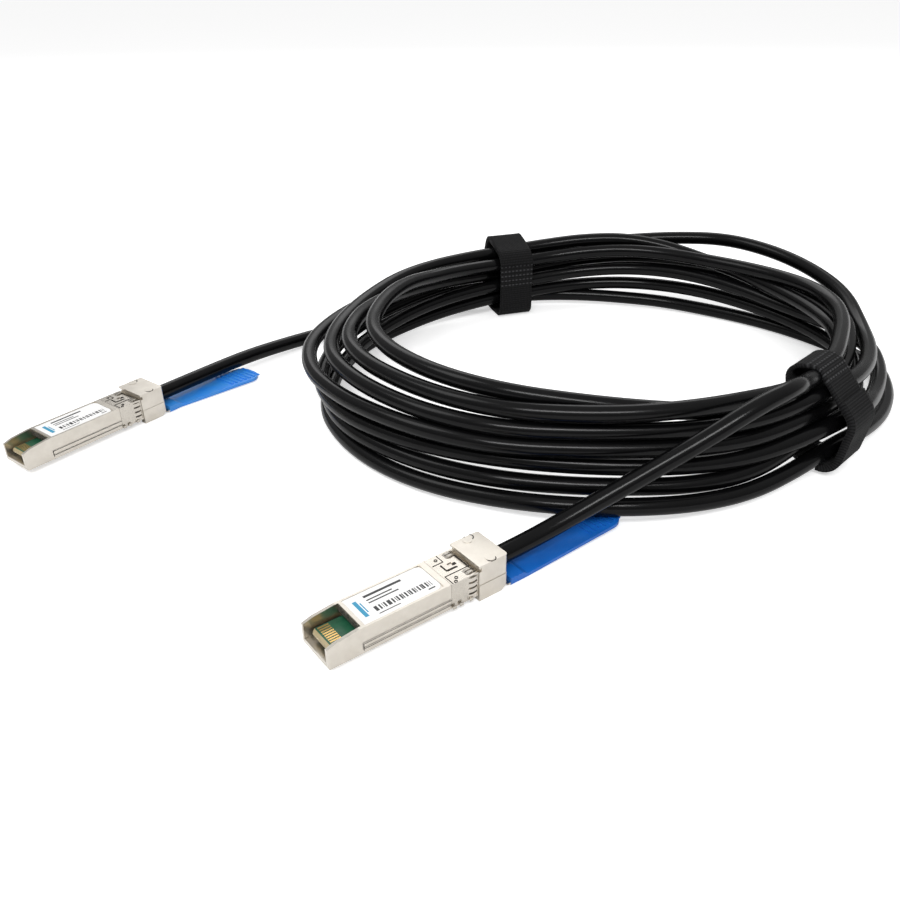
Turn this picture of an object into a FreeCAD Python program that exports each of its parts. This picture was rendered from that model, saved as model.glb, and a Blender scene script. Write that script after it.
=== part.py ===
"""Direct attach copper cable: two pluggable metal ends, pull tabs and a coiled twinax cord.

The frame has its origin on the floor under the middle of the near plug's head, +X from that plug's
nose to its cable and +Z up.  Each plug is modelled in its own frame: x from the tip of the nose,
y across, z from the floor.  All sizes are millimetres and live in the spreadsheet "Sizes".
"""
import FreeCAD, Part
import math
import os
import re

import Sketcher

Vector = FreeCAD.Vector

SIZES = {
    # place of each plug: tip of the nose on the floor, and turn about the vertical
    "near_nose_x": -54.1,
    "near_nose_y": 0.0,
    "near_turn": 0.0,
    "far_nose_x": -91.05,
    "far_nose_y": 150.62,
    "far_turn": 15.84,
    # die-cast housing
    "housing_width": 13.4,
    "housing_height": 8.5,
    "housing_lift": 2.0,
    "housing_length": 49.0,
    "wall": 1.0,
    "top_plate": 1.3,
    "floor_plate": 1.6,
    "cover_flange": 0.8,
    "nose_opening": 10.8,
    "nose_slope_run": 3.1,
    "nose_slope_dip": 0.75,
    "nose_slope_drop": 1.7,
    "nose_round": 0.8,
    "nose_lip_height": 1.8,
    "nose_lip_depth": 1.5,
    "band_start": 10.5,
    "band_low": 0.8,
    "band_high": 3.0,
    "band_depth": 0.25,
    "label_start": 11.9,
    "label_gap": 2.0,
    "label_width": 11.9,
    "label_recess": 0.25,
    "label_sheet": 0.15,
    "label_corner": 2.0,
    # spring collar
    "collar_length": 9.6,
    "collar_sheet": 0.25,
    "collar_relief": 0.3,
    "finger_rise": 0.45,
    "finger_count": 4.0,
    "finger_width": 1.25,
    "finger_pitch": 1.9,
    "finger_run": 3.4,
    "finger_margin": 0.3,
    "top_finger_side": 4.7,
    "top_finger_width": 0.9,
    "top_finger_pitch": 1.3,
    "tongue_start": 2.4,
    "tongue_length": 3.6,
    "tongue_width": 2.5,
    "tongue_slot": 0.5,
    "latch_hole": 1.6,
    # head round the cable
    "head_length": 10.4,
    "head_width": 13.9,
    "head_height": 12.2,
    "head_split": 5.5,
    "head_step": 0.15,
    "head_corner": 0.9,
    "head_chamfer_run": 2.2,
    "head_chamfer_rise": 1.8,
    "head_brow": 0.8,
    "head_brow_depth": 0.9,
    "flange_slot_start": 1.1,
    "flange_slot_width": 0.5,
    "flange_slot_depth": 0.4,
    "flange_foot": 2.2,
    "flange_brow": 1.2,
    "pin_diameter": 3.0,
    "pin_proud": 0.1,
    "pin_floor": 2.0,
    "pin_side": 5.2,
    "cable_diameter": 6.05,
    "cable_height": 6.0,
    "bore_clearance": 0.15,
    "ferrule_wall": 0.45,
    "cable_entry": 1.4,
    # inner pieces
    "card_start": 1.7,
    "card_end": 33.0,
    "card_width": 9.6,
    "card_thickness": 1.0,
    "card_top": 4.7,
    "card_chamfer": 1.0,
    "pad_count": 10.0,
    "pad_start": 3.3,
    "pad_length": 3.3,
    "pad_width": 0.55,
    "pad_pitch": 0.92,
    "pad_thickness": 0.06,
    "rail_width": 1.1,
    "chip_start": 17.5,
    "chip_length": 3.0,
    "chip_width": 3.0,
    "chip_height": 0.9,
    "capacitor_count": 4.0,
    "capacitor_start": 12.6,
    "capacitor_length": 1.0,
    "capacitor_width": 0.5,
    "capacitor_height": 0.5,
    "capacitor_pitch": 1.6,
    "mould_start": 28.5,
    "mould_gap": 5.0,
    "mould_width": 9.4,
    "mould_height": 3.3,
    "conductor_count": 4.0,
    "conductor_diameter": 0.6,
    "conductor_start": 24.6,
    "conductor_pitch": 1.5,
    "braid_diameter": 3.8,
    # release slider, its latch boss and the pull tab
    "boss_start": 31.2,
    "boss_length": 3.9,
    "boss_drop": 1.05,
    "boss_width": 2.6,
    "slider_sheet": 0.5,
    "slider_gap": 0.15,
    "arm_start": 30.0,
    "arm_inner": 2.4,
    "arm_width": 2.0,
    "wedge_length": 2.2,
    "wedge_drop": 0.95,
    "release_travel": 2.8,
    "joggle_reach": 6.6,
    "joggle_gap": 0.4,
    "slider_low": 0.5,
    "slider_tail": 4.6,
    "slider_shoulder": 0.3,
    "channel_top": 1.3,
    "tab_width": 14.0,
    "tab_thickness": 1.2,
    "tab_hub_length": 5.6,
    "tab_hub_low": 0.15,
    "tab_hub_height": 2.3,
    "near_tab_reach": 49.4,
    "near_tab_rise": 2.0,
    "near_tab_shift": 0.0,
    "far_tab_reach": 45.6,
    "far_tab_rise": 0.4,
    "far_tab_shift": -7.0,
    "tab_corner": 5.0,
    "tab_relief_gap": 0.5,
    "grip_count": 7.0,
    "grip_inset": 14.2,
    "grip_pitch": 2.1,
    "grip_length": 0.8,
    "grip_height": 0.35,
    "grip_margin": 1.6,
    # coil of cord and its two tie straps
    "coil_x": 124.7,
    "coil_y": 72.6,
    "coil_turn": -36.67,
    "coil_outer_long": 127.0,
    "coil_outer_short": 100.0,
    "coil_inner_long": 87.0,
    "coil_inner_short": 84.0,
    "coil_height": 43.5,
    "coil_edge": 7.0,
    "strap_width": 16.0,
    "strap_thickness": 1.6,
    "strap_clearance": 0.2,
    "strap_corner": 5.0,
    "rear_strap_x": -34.0,
    "rear_strap_y": 89.2,
    "rear_strap_turn": 107.0,
    "rear_foot_in": 11.6,
    "rear_foot_out": 11.6,
    "rear_foot_height": 0.0,
    "rear_side_out": 13.5,
    "rear_side_height": 26.0,
    "rear_crown_out": 10.0,
    "rear_crown_height": 36.5,
    "rear_inner_in": 11.4,
    "rear_inner_height": 30.5,
    "front_strap_x": 67.3,
    "front_strap_y": -66.5,
    "front_strap_turn": -45.0,
    "front_foot_in": 8.0,
    "front_foot_out": 9.0,
    "front_foot_height": 2.5,
    "front_side_out": 12.0,
    "front_side_height": 22.0,
    "front_crown_out": -3.5,
    "front_crown_height": 39.5,
    "front_inner_in": 15.0,
    "front_inner_height": 37.0,
}

doc = FreeCAD.newDocument("DirectAttachCable")
sheet = doc.addObject("Spreadsheet::Sheet", "Sizes")
for row_number, (size_name, size_value) in enumerate(SIZES.items(), start=1):
    sheet.set(f"A{row_number}", size_name)
    sheet.set(f"B{row_number}", repr(size_value))
    sheet.setAlias(f"B{row_number}", size_name)
doc.recompute()

# Derived levels and widths, written with the names of the sheet's cells.
HALF_WIDTH = "housing_width / 2"
INNER_HALF = "(housing_width / 2 - wall)"
SHELL_TOP = "(housing_lift + housing_height)"
SPLIT = "(housing_lift + cover_flange)"
CAVITY_TOP = "(housing_lift + housing_height - top_plate)"
FLOOR_TOP = "(housing_lift + floor_plate)"
CARD_TOP = "(housing_lift + card_top)"
CARD_BOTTOM = "(housing_lift + card_top - card_thickness)"
HEAD_END = "(housing_length + head_length)"
HEAD_MIDDLE = "(housing_length + head_length / 2)"
COLLAR_START = "(housing_length - collar_length)"
LABEL_END = "(housing_length - collar_length - label_gap)"
MOULD_END = "(housing_length - mould_gap)"
CABLE_STOP = "(housing_length + cable_entry)"
JOGGLE = "(housing_length + joggle_reach)"
LOWER_HALF = "(head_width / 2 + head_step)"
CHANNEL_HALF = "(head_width / 2 - wall)"
TAIL_HALF = "(head_width / 2 - wall - 0.3)"
ARM_LOW = "(housing_lift + collar_sheet + slider_gap)"
ARM_TOP = "(housing_lift + collar_sheet + slider_gap + slider_sheet)"
GROOVE_TOP = "(housing_lift + collar_sheet + 2 * slider_gap + slider_sheet)"
ARM_OUTER = "(arm_inner + arm_width)"
PIN_BOTTOM = "(channel_top + pin_floor)"
BORE_RADIUS = "(cable_diameter / 2 + bore_clearance)"


def bound(text):
    """Return an expression in which every size name refers to the sheet."""
    return re.sub(r"[a-z]+(?:_[a-z]+)+|wall", lambda found: "Sizes." + found.group(0), text)


def number(text):
    """Return the value of an expression written with size names."""
    result = sheet.evalExpression(bound(text))
    return float(getattr(result, "Value", result))


def new_body(label, place=None):
    """Add a PartDesign body; a plug's name puts it in that plug's frame."""
    body = doc.addObject("PartDesign::Body", label)
    body.Label = label
    if place:
        body.Placement = FreeCAD.Placement(Vector(), FreeCAD.Rotation(Vector(0, 0, 1), 1.0))
        body.setExpression("Placement.Base.x", f"Sizes.{place}_nose_x")
        body.setExpression("Placement.Base.y", f"Sizes.{place}_nose_y")
        body.setExpression("Placement.Rotation.Angle", f"Sizes.{place}_turn")
    return body


def new_sketch(body, name, plane, offset=None):
    """Add a sketch to one of the body's own planes, moved along its normal by an expression."""
    sketch = body.newObject("Sketcher::SketchObject", f"{body.Name}_{name}")
    role = {"XY": "XY_Plane", "XZ": "XZ_Plane", "YZ": "YZ_Plane"}[plane]
    support = next(item for item in body.Origin.OriginFeatures if item.Role == role)
    sketch.AttachmentSupport = [(support, "")]
    sketch.MapMode = "FlatFace"
    if offset:
        sketch.setExpression("AttachmentOffset.Base.z", bound(offset))
    return sketch


def outline(sketch, corners):
    """Draw a closed outline whose corners are pairs of expressions."""
    points = [Vector(number(along), number(up), 0) for along, up in corners]
    first = sketch.GeometryCount
    count = len(points)
    for index in range(count):
        sketch.addGeometry(Part.LineSegment(points[index], points[(index + 1) % count]), False)
    for index in range(count):
        following = first + (index + 1) % count
        sketch.addConstraint(Sketcher.Constraint("Coincident", first + index, 2, following, 1))
    for index, (along, up) in enumerate(corners):
        for kind, text, value in (("DistanceX", along, points[index].x), ("DistanceY", up, points[index].y)):
            number_of = sketch.addConstraint(Sketcher.Constraint(kind, -1, 1, first + index, 1, value))
            sketch.setExpression(f"Constraints[{number_of}]", bound(text))


def rectangle(sketch, left, right, low, high):
    """Draw a rectangle between four expressions."""
    outline(sketch, [(left, low), (right, low), (right, high), (left, high)])


def circle(sketch, along, up, radius):
    """Draw a circle round a point given by expressions."""
    centre = Vector(number(along), number(up), 0)
    index = sketch.addGeometry(Part.Circle(centre, Vector(0, 0, 1), number(radius)), False)
    for kind, text, value in (("DistanceX", along, centre.x), ("DistanceY", up, centre.y)):
        number_of = sketch.addConstraint(Sketcher.Constraint(kind, -1, 1, index, 3, value))
        sketch.setExpression(f"Constraints[{number_of}]", bound(text))
    number_of = sketch.addConstraint(Sketcher.Constraint("Radius", index, number(radius)))
    sketch.setExpression(f"Constraints[{number_of}]", bound(radius))


def pad(body, name, sketch, length, symmetric=False, reverse=False):
    """Extrude a sketch by an expression."""
    feature = body.newObject("PartDesign::Pad", f"{body.Name}_{name}")
    feature.Profile = sketch
    feature.setExpression("Length", bound(length))
    if symmetric:
        feature.SideType = "Symmetric"
    feature.Reversed = reverse
    doc.recompute()
    return feature


def pocket(body, name, sketch, length, symmetric=False, reverse=False):
    """Cut a sketch out by an expression and make sure that it removed material."""
    before = body.Shape.Volume
    feature = body.newObject("PartDesign::Pocket", f"{body.Name}_{name}")
    feature.Profile = sketch
    feature.setExpression("Length", bound(length))
    if symmetric:
        feature.SideType = "Symmetric"
    feature.Reversed = reverse
    doc.recompute()
    if body.Shape.Volume >= before - 1e-4:
        raise ValueError(f"{feature.Name} cuts nothing")
    return feature


def repeat(body, name, feature, axis_role, span, count):
    """Repeat a feature along one of the body's axes; the span is the whole run."""
    pattern = body.newObject("PartDesign::LinearPattern", f"{body.Name}_{name}")
    pattern.Originals = [feature]
    axis = next(item for item in body.Origin.OriginFeatures if item.Role == axis_role)
    pattern.Direction = (axis, [""])
    pattern.setExpression("Length", bound(span))
    pattern.setExpression("Occurrences", bound(count))
    body.Tip = pattern
    doc.recompute()
    return pattern


def mirror(body, name, features, plane_role):
    """Mirror features about one of the body's planes."""
    feature = body.newObject("PartDesign::Mirrored", f"{body.Name}_{name}")
    feature.Originals = features
    plane = next(item for item in body.Origin.OriginFeatures if item.Role == plane_role)
    feature.MirrorPlane = (plane, [""])
    body.Tip = feature
    doc.recompute()
    return feature


def edges_of(body, wanted):
    """Return the names of the body's edges for which wanted(edge) is true, in its own frame."""
    shape = body.Tip.Shape
    return [f"Edge{index}" for index, edge in enumerate(shape.Edges, start=1) if wanted(edge)]


def fillet(body, name, radius, wanted):
    """Round the chosen edges."""
    names = edges_of(body, wanted)
    if not names:
        raise ValueError(f"{body.Name} {name}: no edges")
    base = body.Tip
    feature = body.newObject("PartDesign::Fillet", f"{body.Name}_{name}")
    feature.Base = (base, names)
    feature.setExpression("Radius", bound(radius))
    doc.recompute()
    return feature


def upright_at(along, across):
    """Return a test for upright edges at one place, |y| counted."""
    def test(edge):
        ends = [vertex.Point for vertex in edge.Vertexes]
        if len(ends) != 2 or abs(ends[0].z - ends[1].z) < 0.3:
            return False
        near = all(abs(end.x - along) < 0.05 and abs(abs(end.y) - across) < 0.05 for end in ends)
        return near
    return test


def upper_shell(plug):
    """Die-cast upper half: nose walls, label plate, collar seat and the upper half of the head."""
    body = new_body(f"{plug}_upper_shell", plug)
    sketch = new_sketch(body, "side", "XZ")
    outline(sketch, [
        ("0", SPLIT),
        (COLLAR_START, SPLIT),
        (COLLAR_START, SHELL_TOP),
        ("nose_opening - 1", SHELL_TOP),
        ("nose_slope_run", f"{SHELL_TOP} - nose_slope_dip"),
        ("0", f"{SHELL_TOP} - nose_slope_drop"),
    ])
    pad(body, "block", sketch, "housing_width", symmetric=True)
    sketch = new_sketch(body, "seat", "XZ")
    rectangle(sketch, COLLAR_START, "housing_length", SPLIT, f"{SHELL_TOP} - collar_relief")
    pad(body, "collar_seat", sketch, "housing_width - 2 * collar_relief", symmetric=True)
    sketch = new_sketch(body, "head", "XZ")
    outline(sketch, [
        ("housing_length", "head_split"),
        (HEAD_END, "head_split"),
        (HEAD_END, "head_height"),
        ("housing_length", "head_height"),
        ("housing_length", "head_height - head_brow"),
        ("housing_length + head_brow_depth", "head_height - head_brow"),
        ("housing_length + head_brow_depth", f"{SHELL_TOP} - collar_relief"),
        ("housing_length", f"{SHELL_TOP} - collar_relief"),
    ])
    pad(body, "head_block", sketch, "head_width", symmetric=True)
    sketch = new_sketch(body, "cavity", "XZ")
    rectangle(sketch, "-1", "housing_length", f"{SPLIT} - 1", CAVITY_TOP)
    pocket(body, "hollow", sketch, "housing_width - 2 * wall", symmetric=True)
    sketch = new_sketch(body, "mouth", "XZ")
    rectangle(sketch, "-1", "nose_opening", f"{CAVITY_TOP} - 0.5", f"{SHELL_TOP} + 1")
    pocket(body, "open_nose", sketch, "housing_width - 2 * wall", symmetric=True)
    sketch = new_sketch(body, "label", "XY", SHELL_TOP)
    rectangle(sketch, "label_start", LABEL_END, "-label_width / 2", "label_width / 2")
    pocket(body, "label_seat", sketch, "label_recess")
    for side, turn in (("left", 1), ("right", -1)):
        sketch = new_sketch(body, f"band_{side}", "XZ", f"{-turn} * (housing_width / 2 - band_depth)")
        low = "(housing_lift + band_low + 0.01)"
        high = "(housing_lift + band_high)"
        rectangle(sketch, "band_start", f"{COLLAR_START} + 0.1", low, high)
        pocket(body, f"band_{side}_recess", sketch, "band_depth + 1", reverse=turn > 0)
    for side, turn in (("left", 1), ("right", -1)):
        sketch = new_sketch(body, f"slot_{side}", "XZ", f"{-turn} * (head_width / 2 - flange_slot_depth)")
        start = "(housing_length + flange_slot_start)"
        rectangle(sketch, start, f"{start} + flange_slot_width", "head_split - 1", "head_height - flange_brow")
        pocket(body, f"slot_{side}_cut", sketch, "flange_slot_depth + 1", reverse=turn > 0)
    sketch = new_sketch(body, "bore", "YZ", "housing_length - 1")
    circle(sketch, "0", "cable_height", BORE_RADIUS)
    pocket(body, "cable_bore", sketch, "head_length + 2", reverse=True)
    sketch = new_sketch(body, "pins", "XY", "head_height")
    circle(sketch, HEAD_MIDDLE, "pin_side", "pin_diameter / 2")
    circle(sketch, HEAD_MIDDLE, "-pin_side", "pin_diameter / 2")
    pocket(body, "pin_holes", sketch, "head_height - head_split + 1")
    corner_x = number(HEAD_END)
    fillet(body, "head_corners", "head_corner", upright_at(corner_x, number("head_width / 2")))
    return body


def lower_cover(plug):
    """Lower half: floor, nose lip, card rails, latch boss, slider recess and the head's lower half."""
    body = new_body(f"{plug}_lower_cover", plug)
    sketch = new_sketch(body, "flange", "XY", "housing_lift")
    rectangle(sketch, "0", COLLAR_START, f"-{HALF_WIDTH}", HALF_WIDTH)
    pad(body, "flange_plate", sketch, "cover_flange")
    sketch = new_sketch(body, "rear_flange", "XY", "housing_lift + collar_relief")
    half = "(housing_width / 2 - collar_relief)"
    rectangle(sketch, f"{COLLAR_START} - 0.5", "housing_length", f"-{half}", half)
    pad(body, "collar_floor", sketch, "cover_flange - collar_relief")
    fit = "(housing_width / 2 - wall - 0.05)"
    sketch = new_sketch(body, "inner_floor", "XY", f"{SPLIT} - 0.1")
    rectangle(sketch, "0", "housing_length", f"-{fit}", fit)
    pad(body, "inner_plate", sketch, "floor_plate - cover_flange + 0.1")
    sketch = new_sketch(body, "lip", "XZ")
    rectangle(sketch, "0", "nose_lip_depth", f"{FLOOR_TOP} - 0.2", "housing_lift + nose_lip_height + 0.2")
    pad(body, "nose_lip", sketch, f"2 * {fit}", symmetric=True)
    sketch = new_sketch(body, "rail", "XY", f"{FLOOR_TOP} - 0.1")
    rectangle(sketch, "nose_opening + 0.5", "card_end - 1", f"{fit} - rail_width", fit)
    rail = pad(body, "rail_pad", sketch, f"{CARD_BOTTOM} - {FLOOR_TOP} + 0.1")
    mirror(body, "rails", [rail], "XZ_Plane")
    sketch = new_sketch(body, "head", "XZ")
    outline(sketch, [
        ("housing_length", "0"),
        (f"{HEAD_END} - head_chamfer_run", "0"),
        (HEAD_END, "head_chamfer_rise"),
        (HEAD_END, "head_split"),
        ("housing_length", "head_split"),
    ])
    pad(body, "head_block", sketch, f"2 * {LOWER_HALF}", symmetric=True)
    clear_half = f"({ARM_OUTER} + 0.3)"
    clear_inner = "(arm_inner - 0.3)"
    sketch = new_sketch(body, "recess", "XY", GROOVE_TOP)
    rectangle(sketch, "arm_start - 0.6", "housing_length + 0.01", f"-{clear_half}", clear_half)
    pocket(body, "slider_recess", sketch, "housing_lift + 4")
    sketch = new_sketch(body, "arm_slots", "XY", GROOVE_TOP)
    rectangle(sketch, "housing_length - 1", f"{JOGGLE}", clear_inner, clear_half)
    rectangle(sketch, "housing_length - 1", f"{JOGGLE}", f"-{clear_half}", f"-{clear_inner}")
    pocket(body, "arm_slot_pair", sketch, "housing_lift + 4")
    sketch = new_sketch(body, "joggle_room", "XY", GROOVE_TOP)
    room_end = f"({JOGGLE} + slider_sheet + release_travel + 0.2)"
    rectangle(sketch, f"{JOGGLE} - joggle_gap", room_end, f"-{clear_half}", clear_half)
    pocket(body, "joggle_recess", sketch, "housing_lift + 4")
    sketch = new_sketch(body, "channel", "XY", "channel_top")
    rectangle(sketch, f"{JOGGLE} - joggle_gap", f"{HEAD_END} + 1", f"-{CHANNEL_HALF}", CHANNEL_HALF)
    pocket(body, "tail_channel", sketch, "channel_top + 2")
    sketch = new_sketch(body, "boss", "XZ")
    outline(sketch, [
        ("boss_start", f"{GROOVE_TOP} + 0.1"),
        ("boss_start", "housing_lift"),
        ("boss_start + boss_length - 0.5", "housing_lift - boss_drop"),
        ("boss_start + boss_length", "housing_lift - boss_drop"),
        ("boss_start + boss_length", f"{GROOVE_TOP} + 0.1"),
    ])
    pad(body, "latch_boss", sketch, "boss_width", symmetric=True)
    sketch = new_sketch(body, "bore", "YZ", "housing_length - 1")
    circle(sketch, "0", "cable_height", BORE_RADIUS)
    pocket(body, "cable_bore", sketch, "head_length + 2", reverse=True)
    for side, turn in (("left", 1), ("right", -1)):
        sketch = new_sketch(body, f"slot_{side}", "XZ", f"{-turn} * ({LOWER_HALF} - flange_slot_depth)")
        start = "(housing_length + flange_slot_start)"
        rectangle(sketch, start, f"{start} + flange_slot_width", "flange_foot", "head_split + 1")
        pocket(body, f"slot_{side}_cut", sketch, "flange_slot_depth + 1", reverse=turn > 0)
    sketch = new_sketch(body, "pins", "XY", "head_split")
    circle(sketch, HEAD_MIDDLE, "pin_side", "pin_diameter / 2")
    circle(sketch, HEAD_MIDDLE, "-pin_side", "pin_diameter / 2")
    pocket(body, "pin_holes", sketch, f"head_split - {PIN_BOTTOM}")
    corner_x = number(HEAD_END)
    fillet(body, "head_corners", "head_corner", upright_at(corner_x, number(LOWER_HALF)))
    low = number("housing_lift")
    fillet(body, "nose_rounding", "nose_round", lambda edge: across_at(edge, 0, low))
    return body


def across_at(edge, along, up):
    """Return whether a straight edge runs across the plug at one x and z."""
    box = edge.BoundBox
    return box.YLength > 1 and abs(box.XMax - along) + abs(box.XMin - along) + abs(box.ZMax - up) + abs(box.ZMin - up) < 0.02


def spring_collar(plug):
    """Sheet collar wrapped round the housing, with bowed contact fingers at its rear end."""
    body = new_body(f"{plug}_spring_collar", plug)
    start = f"({COLLAR_START} + 0.1)"
    length = "(collar_length - 0.2)"
    middle = "(housing_lift + housing_height / 2)"
    inner_half = "(housing_width / 2 - collar_sheet)"
    sketch = new_sketch(body, "ring", "YZ", start)
    rectangle(sketch, f"-{HALF_WIDTH}", HALF_WIDTH, "housing_lift", SHELL_TOP)
    rectangle(sketch, f"-{inner_half}", inner_half, "housing_lift + collar_sheet", f"{SHELL_TOP} - collar_sheet")
    pad(body, "sheet", sketch, length)
    finger_end = "(housing_length - 0.1 - finger_margin)"
    finger_start = f"({finger_end} - finger_run)"
    span = "((finger_count - 1) * finger_pitch)"
    sketch = new_sketch(body, "side_window", "XZ")
    low = f"({middle} - {span} / 2 - finger_width / 2)"
    rectangle(sketch, f"{finger_start} + 0.4", f"{finger_end} - 0.2", low, f"{low} + {span} + finger_width")
    pocket(body, "side_windows", sketch, "housing_width + 2", symmetric=True)
    sketch = new_sketch(body, "top_cuts", "XY", SHELL_TOP)
    reach = "(top_finger_pitch / 2 + top_finger_width / 2)"
    for side in ("-", ""):
        centre = f"{side}top_finger_side"
        rectangle(sketch, f"{finger_start} + 0.4", f"{finger_end} - 0.2", f"{centre} - {reach}", f"{centre} + {reach}")
    tongue = f"({COLLAR_START} + tongue_start)"
    outline(sketch, [
        (tongue, "tongue_width - 0.6"),
        (f"{tongue} + tongue_slot", "tongue_width - 0.6"),
        (f"{tongue} + tongue_slot", "tongue_slot - 1.1"),
        (f"{tongue} + tongue_length", "tongue_slot - 1.1"),
        (f"{tongue} + tongue_length", "-1.1"),
        (tongue, "-1.1"),
    ])
    hole = f"({tongue} + tongue_length - latch_hole)"
    rectangle(sketch, hole, f"{hole} + latch_hole", "0", "latch_hole")
    pocket(body, "top_slots", sketch, "collar_sheet + 0.1")
    sketch = new_sketch(body, "side_finger", "XY", low)
    bowed_finger(sketch, finger_start, HALF_WIDTH)
    finger = pad(body, "finger", sketch, "finger_width")
    repeat(body, "finger_row", finger, "Z_Axis", span, "finger_count")
    sketch = new_sketch(body, "far_finger", "XY", low)
    bowed_finger(sketch, finger_start, HALF_WIDTH, side="-")
    finger = pad(body, "far_finger_pad", sketch, "finger_width")
    repeat(body, "far_finger_row", finger, "Z_Axis", span, "finger_count")
    for name, centre in (("left", "top_finger_side"), ("right", "(-top_finger_side)")):
        for place in ("-", "+"):
            label_of = f"top_{name}_{'near' if place == '-' else 'far'}"
            sketch = new_sketch(body, label_of, "XZ", f"-({centre} {place} top_finger_pitch / 2)")
            bowed_finger(sketch, finger_start, SHELL_TOP)
            pad(body, f"{label_of}_finger", sketch, "top_finger_width", symmetric=True)
    return body


def bowed_finger(sketch, start, face, side=""):
    """Draw a finger's edge-on outline: a thin strip that bows out of a face and comes back."""
    rise = "finger_rise"
    sheet_in = "collar_sheet"
    steps = [("0", "0"), ("0.25", "0.75"), ("0.5", "1"), ("0.75", "0.75"), ("1", "0.05")]
    outer = [(f"{start} + {along} * finger_run", f"{side}({face} + {up} * {rise})") for along, up in steps]
    inner = [
        (f"{start} + {along} * finger_run", f"{side}({face} + {up} * {rise} - {sheet_in})")
        for along, up in reversed(steps)
    ]
    outline(sketch, outer + inner)


def label(plug):
    """Bare label seated in the recess of the top plate."""
    body = new_body(f"{plug}_label", plug)
    sketch = new_sketch(body, "sheet", "XY", f"{SHELL_TOP} - label_recess")
    edge = "(label_width / 2 - 0.1)"
    rectangle(sketch, "label_start + 0.1", f"{LABEL_END} - 0.1", f"-{edge}", edge)
    pad(body, "film", sketch, "label_sheet")
    fillet(body, "corners", "label_corner", upright_short(number(f"{LABEL_END} - 0.1"), number(edge)))
    return body


def upright_short(along, across):
    """Return a test for the short upright edges of a thin sheet."""
    def test(edge):
        ends = [vertex.Point for vertex in edge.Vertexes]
        if len(ends) != 2 or abs(ends[0].z - ends[1].z) < 0.01:
            return False
        return all(abs(end.x - along) < 0.05 and abs(abs(end.y) - across) < 0.05 for end in ends)
    return test


def card(plug):
    """Printed card between the rails, its front corners chamfered."""
    body = new_body(f"{plug}_card", plug)
    sketch = new_sketch(body, "board", "XY", CARD_BOTTOM)
    half = "card_width / 2"
    outline(sketch, [
        ("card_start + card_chamfer", f"-{half}"),
        ("card_end", f"-{half}"),
        ("card_end", half),
        ("card_start + card_chamfer", half),
        ("card_start", f"{half} - card_chamfer"),
        ("card_start", f"-{half} + card_chamfer"),
    ])
    pad(body, "plate", sketch, "card_thickness")
    return body


def row_of_blocks(body, name, start, across, level, length, width, height, span, count):
    """Pad one block on the card and repeat it across the card."""
    sketch = new_sketch(body, name, "XY", level)
    rectangle(sketch, start, f"{start} + {length}", f"{across} - {width} / 2", f"{across} + {width} / 2")
    block = pad(body, f"{name}_block", sketch, height)
    return repeat(body, f"{name}_row", block, "Y_Axis", span, count)


def contact_pads(plug):
    """Two rows of plated contact pads, one on each face of the card."""
    body = new_body(f"{plug}_contact_pads", plug)
    span = "((pad_count - 1) * pad_pitch)"
    for face, level in (("top", CARD_TOP), ("bottom", f"{CARD_BOTTOM} - pad_thickness")):
        row_of_blocks(
            body, face, "pad_start", f"-{span} / 2", level,
            "pad_length", "pad_width", "pad_thickness", span, "pad_count",
        )
    return body


def memory_chip(plug):
    """Small identification memory on the card."""
    body = new_body(f"{plug}_memory_chip", plug)
    sketch = new_sketch(body, "outline", "XY", CARD_TOP)
    rectangle(sketch, "chip_start", "chip_start + chip_length", "-chip_width / 2", "chip_width / 2")
    pad(body, "package", sketch, "chip_height")
    return body


def capacitors(plug):
    """Row of coupling capacitors between the contact pads and the chip."""
    body = new_body(f"{plug}_capacitors", plug)
    span = "((capacitor_count - 1) * capacitor_pitch)"
    row_of_blocks(
        body, "row", "capacitor_start", f"-{span} / 2", CARD_TOP,
        "capacitor_length", "capacitor_width", "capacitor_height", span, "capacitor_count",
    )
    return body


def conductors(plug):
    """Two twinax pairs laid flat on the card in front of the mould."""
    body = new_body(f"{plug}_conductors", plug)
    span = "((conductor_count - 1) * conductor_pitch)"
    sketch = new_sketch(body, "end", "YZ", "conductor_start")
    circle(sketch, f"-{span} / 2", f"{CARD_TOP} + conductor_diameter / 2", "conductor_diameter / 2")
    wire = pad(body, "wire", sketch, "mould_start - conductor_start")
    repeat(body, "wires", wire, "Y_Axis", span, "conductor_count")
    return body


def inner_mould(plug):
    """Strain-relief mould that holds the card's rear edge and the conductors, tapered to the braid."""
    body = new_body(f"{plug}_inner_mould", plug)
    sketch = new_sketch(body, "block", "XZ")
    outline(sketch, [
        ("mould_start", CARD_TOP),
        ("card_end + 0.2", CARD_TOP),
        ("card_end + 0.2", f"{FLOOR_TOP} + 0.3"),
        (MOULD_END, f"{FLOOR_TOP} + 0.3"),
        (MOULD_END, f"{CARD_TOP} + mould_height - 0.8"),
        (f"{MOULD_END} - 3", f"{CAVITY_TOP} - 0.3"),
        ("mould_start", f"{CAVITY_TOP} - 0.3"),
    ])
    pad(body, "body", sketch, "mould_width", symmetric=True)
    return body


def braid_clamp(plug):
    """Crimped ferrule on the cable's braid, between the mould and the head."""
    body = new_body(f"{plug}_braid_clamp", plug)
    sketch = new_sketch(body, "tube", "YZ", MOULD_END)
    circle(sketch, "0", "cable_height", "braid_diameter / 2")
    pad(body, "core", sketch, f"{CABLE_STOP} - {MOULD_END}")
    sketch = new_sketch(body, "ring", "YZ", f"{MOULD_END} + 0.4")
    circle(sketch, "0", "cable_height", "braid_diameter / 2 + ferrule_wall")
    pad(body, "sleeve", sketch, "mould_gap - 0.6")
    return body


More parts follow.
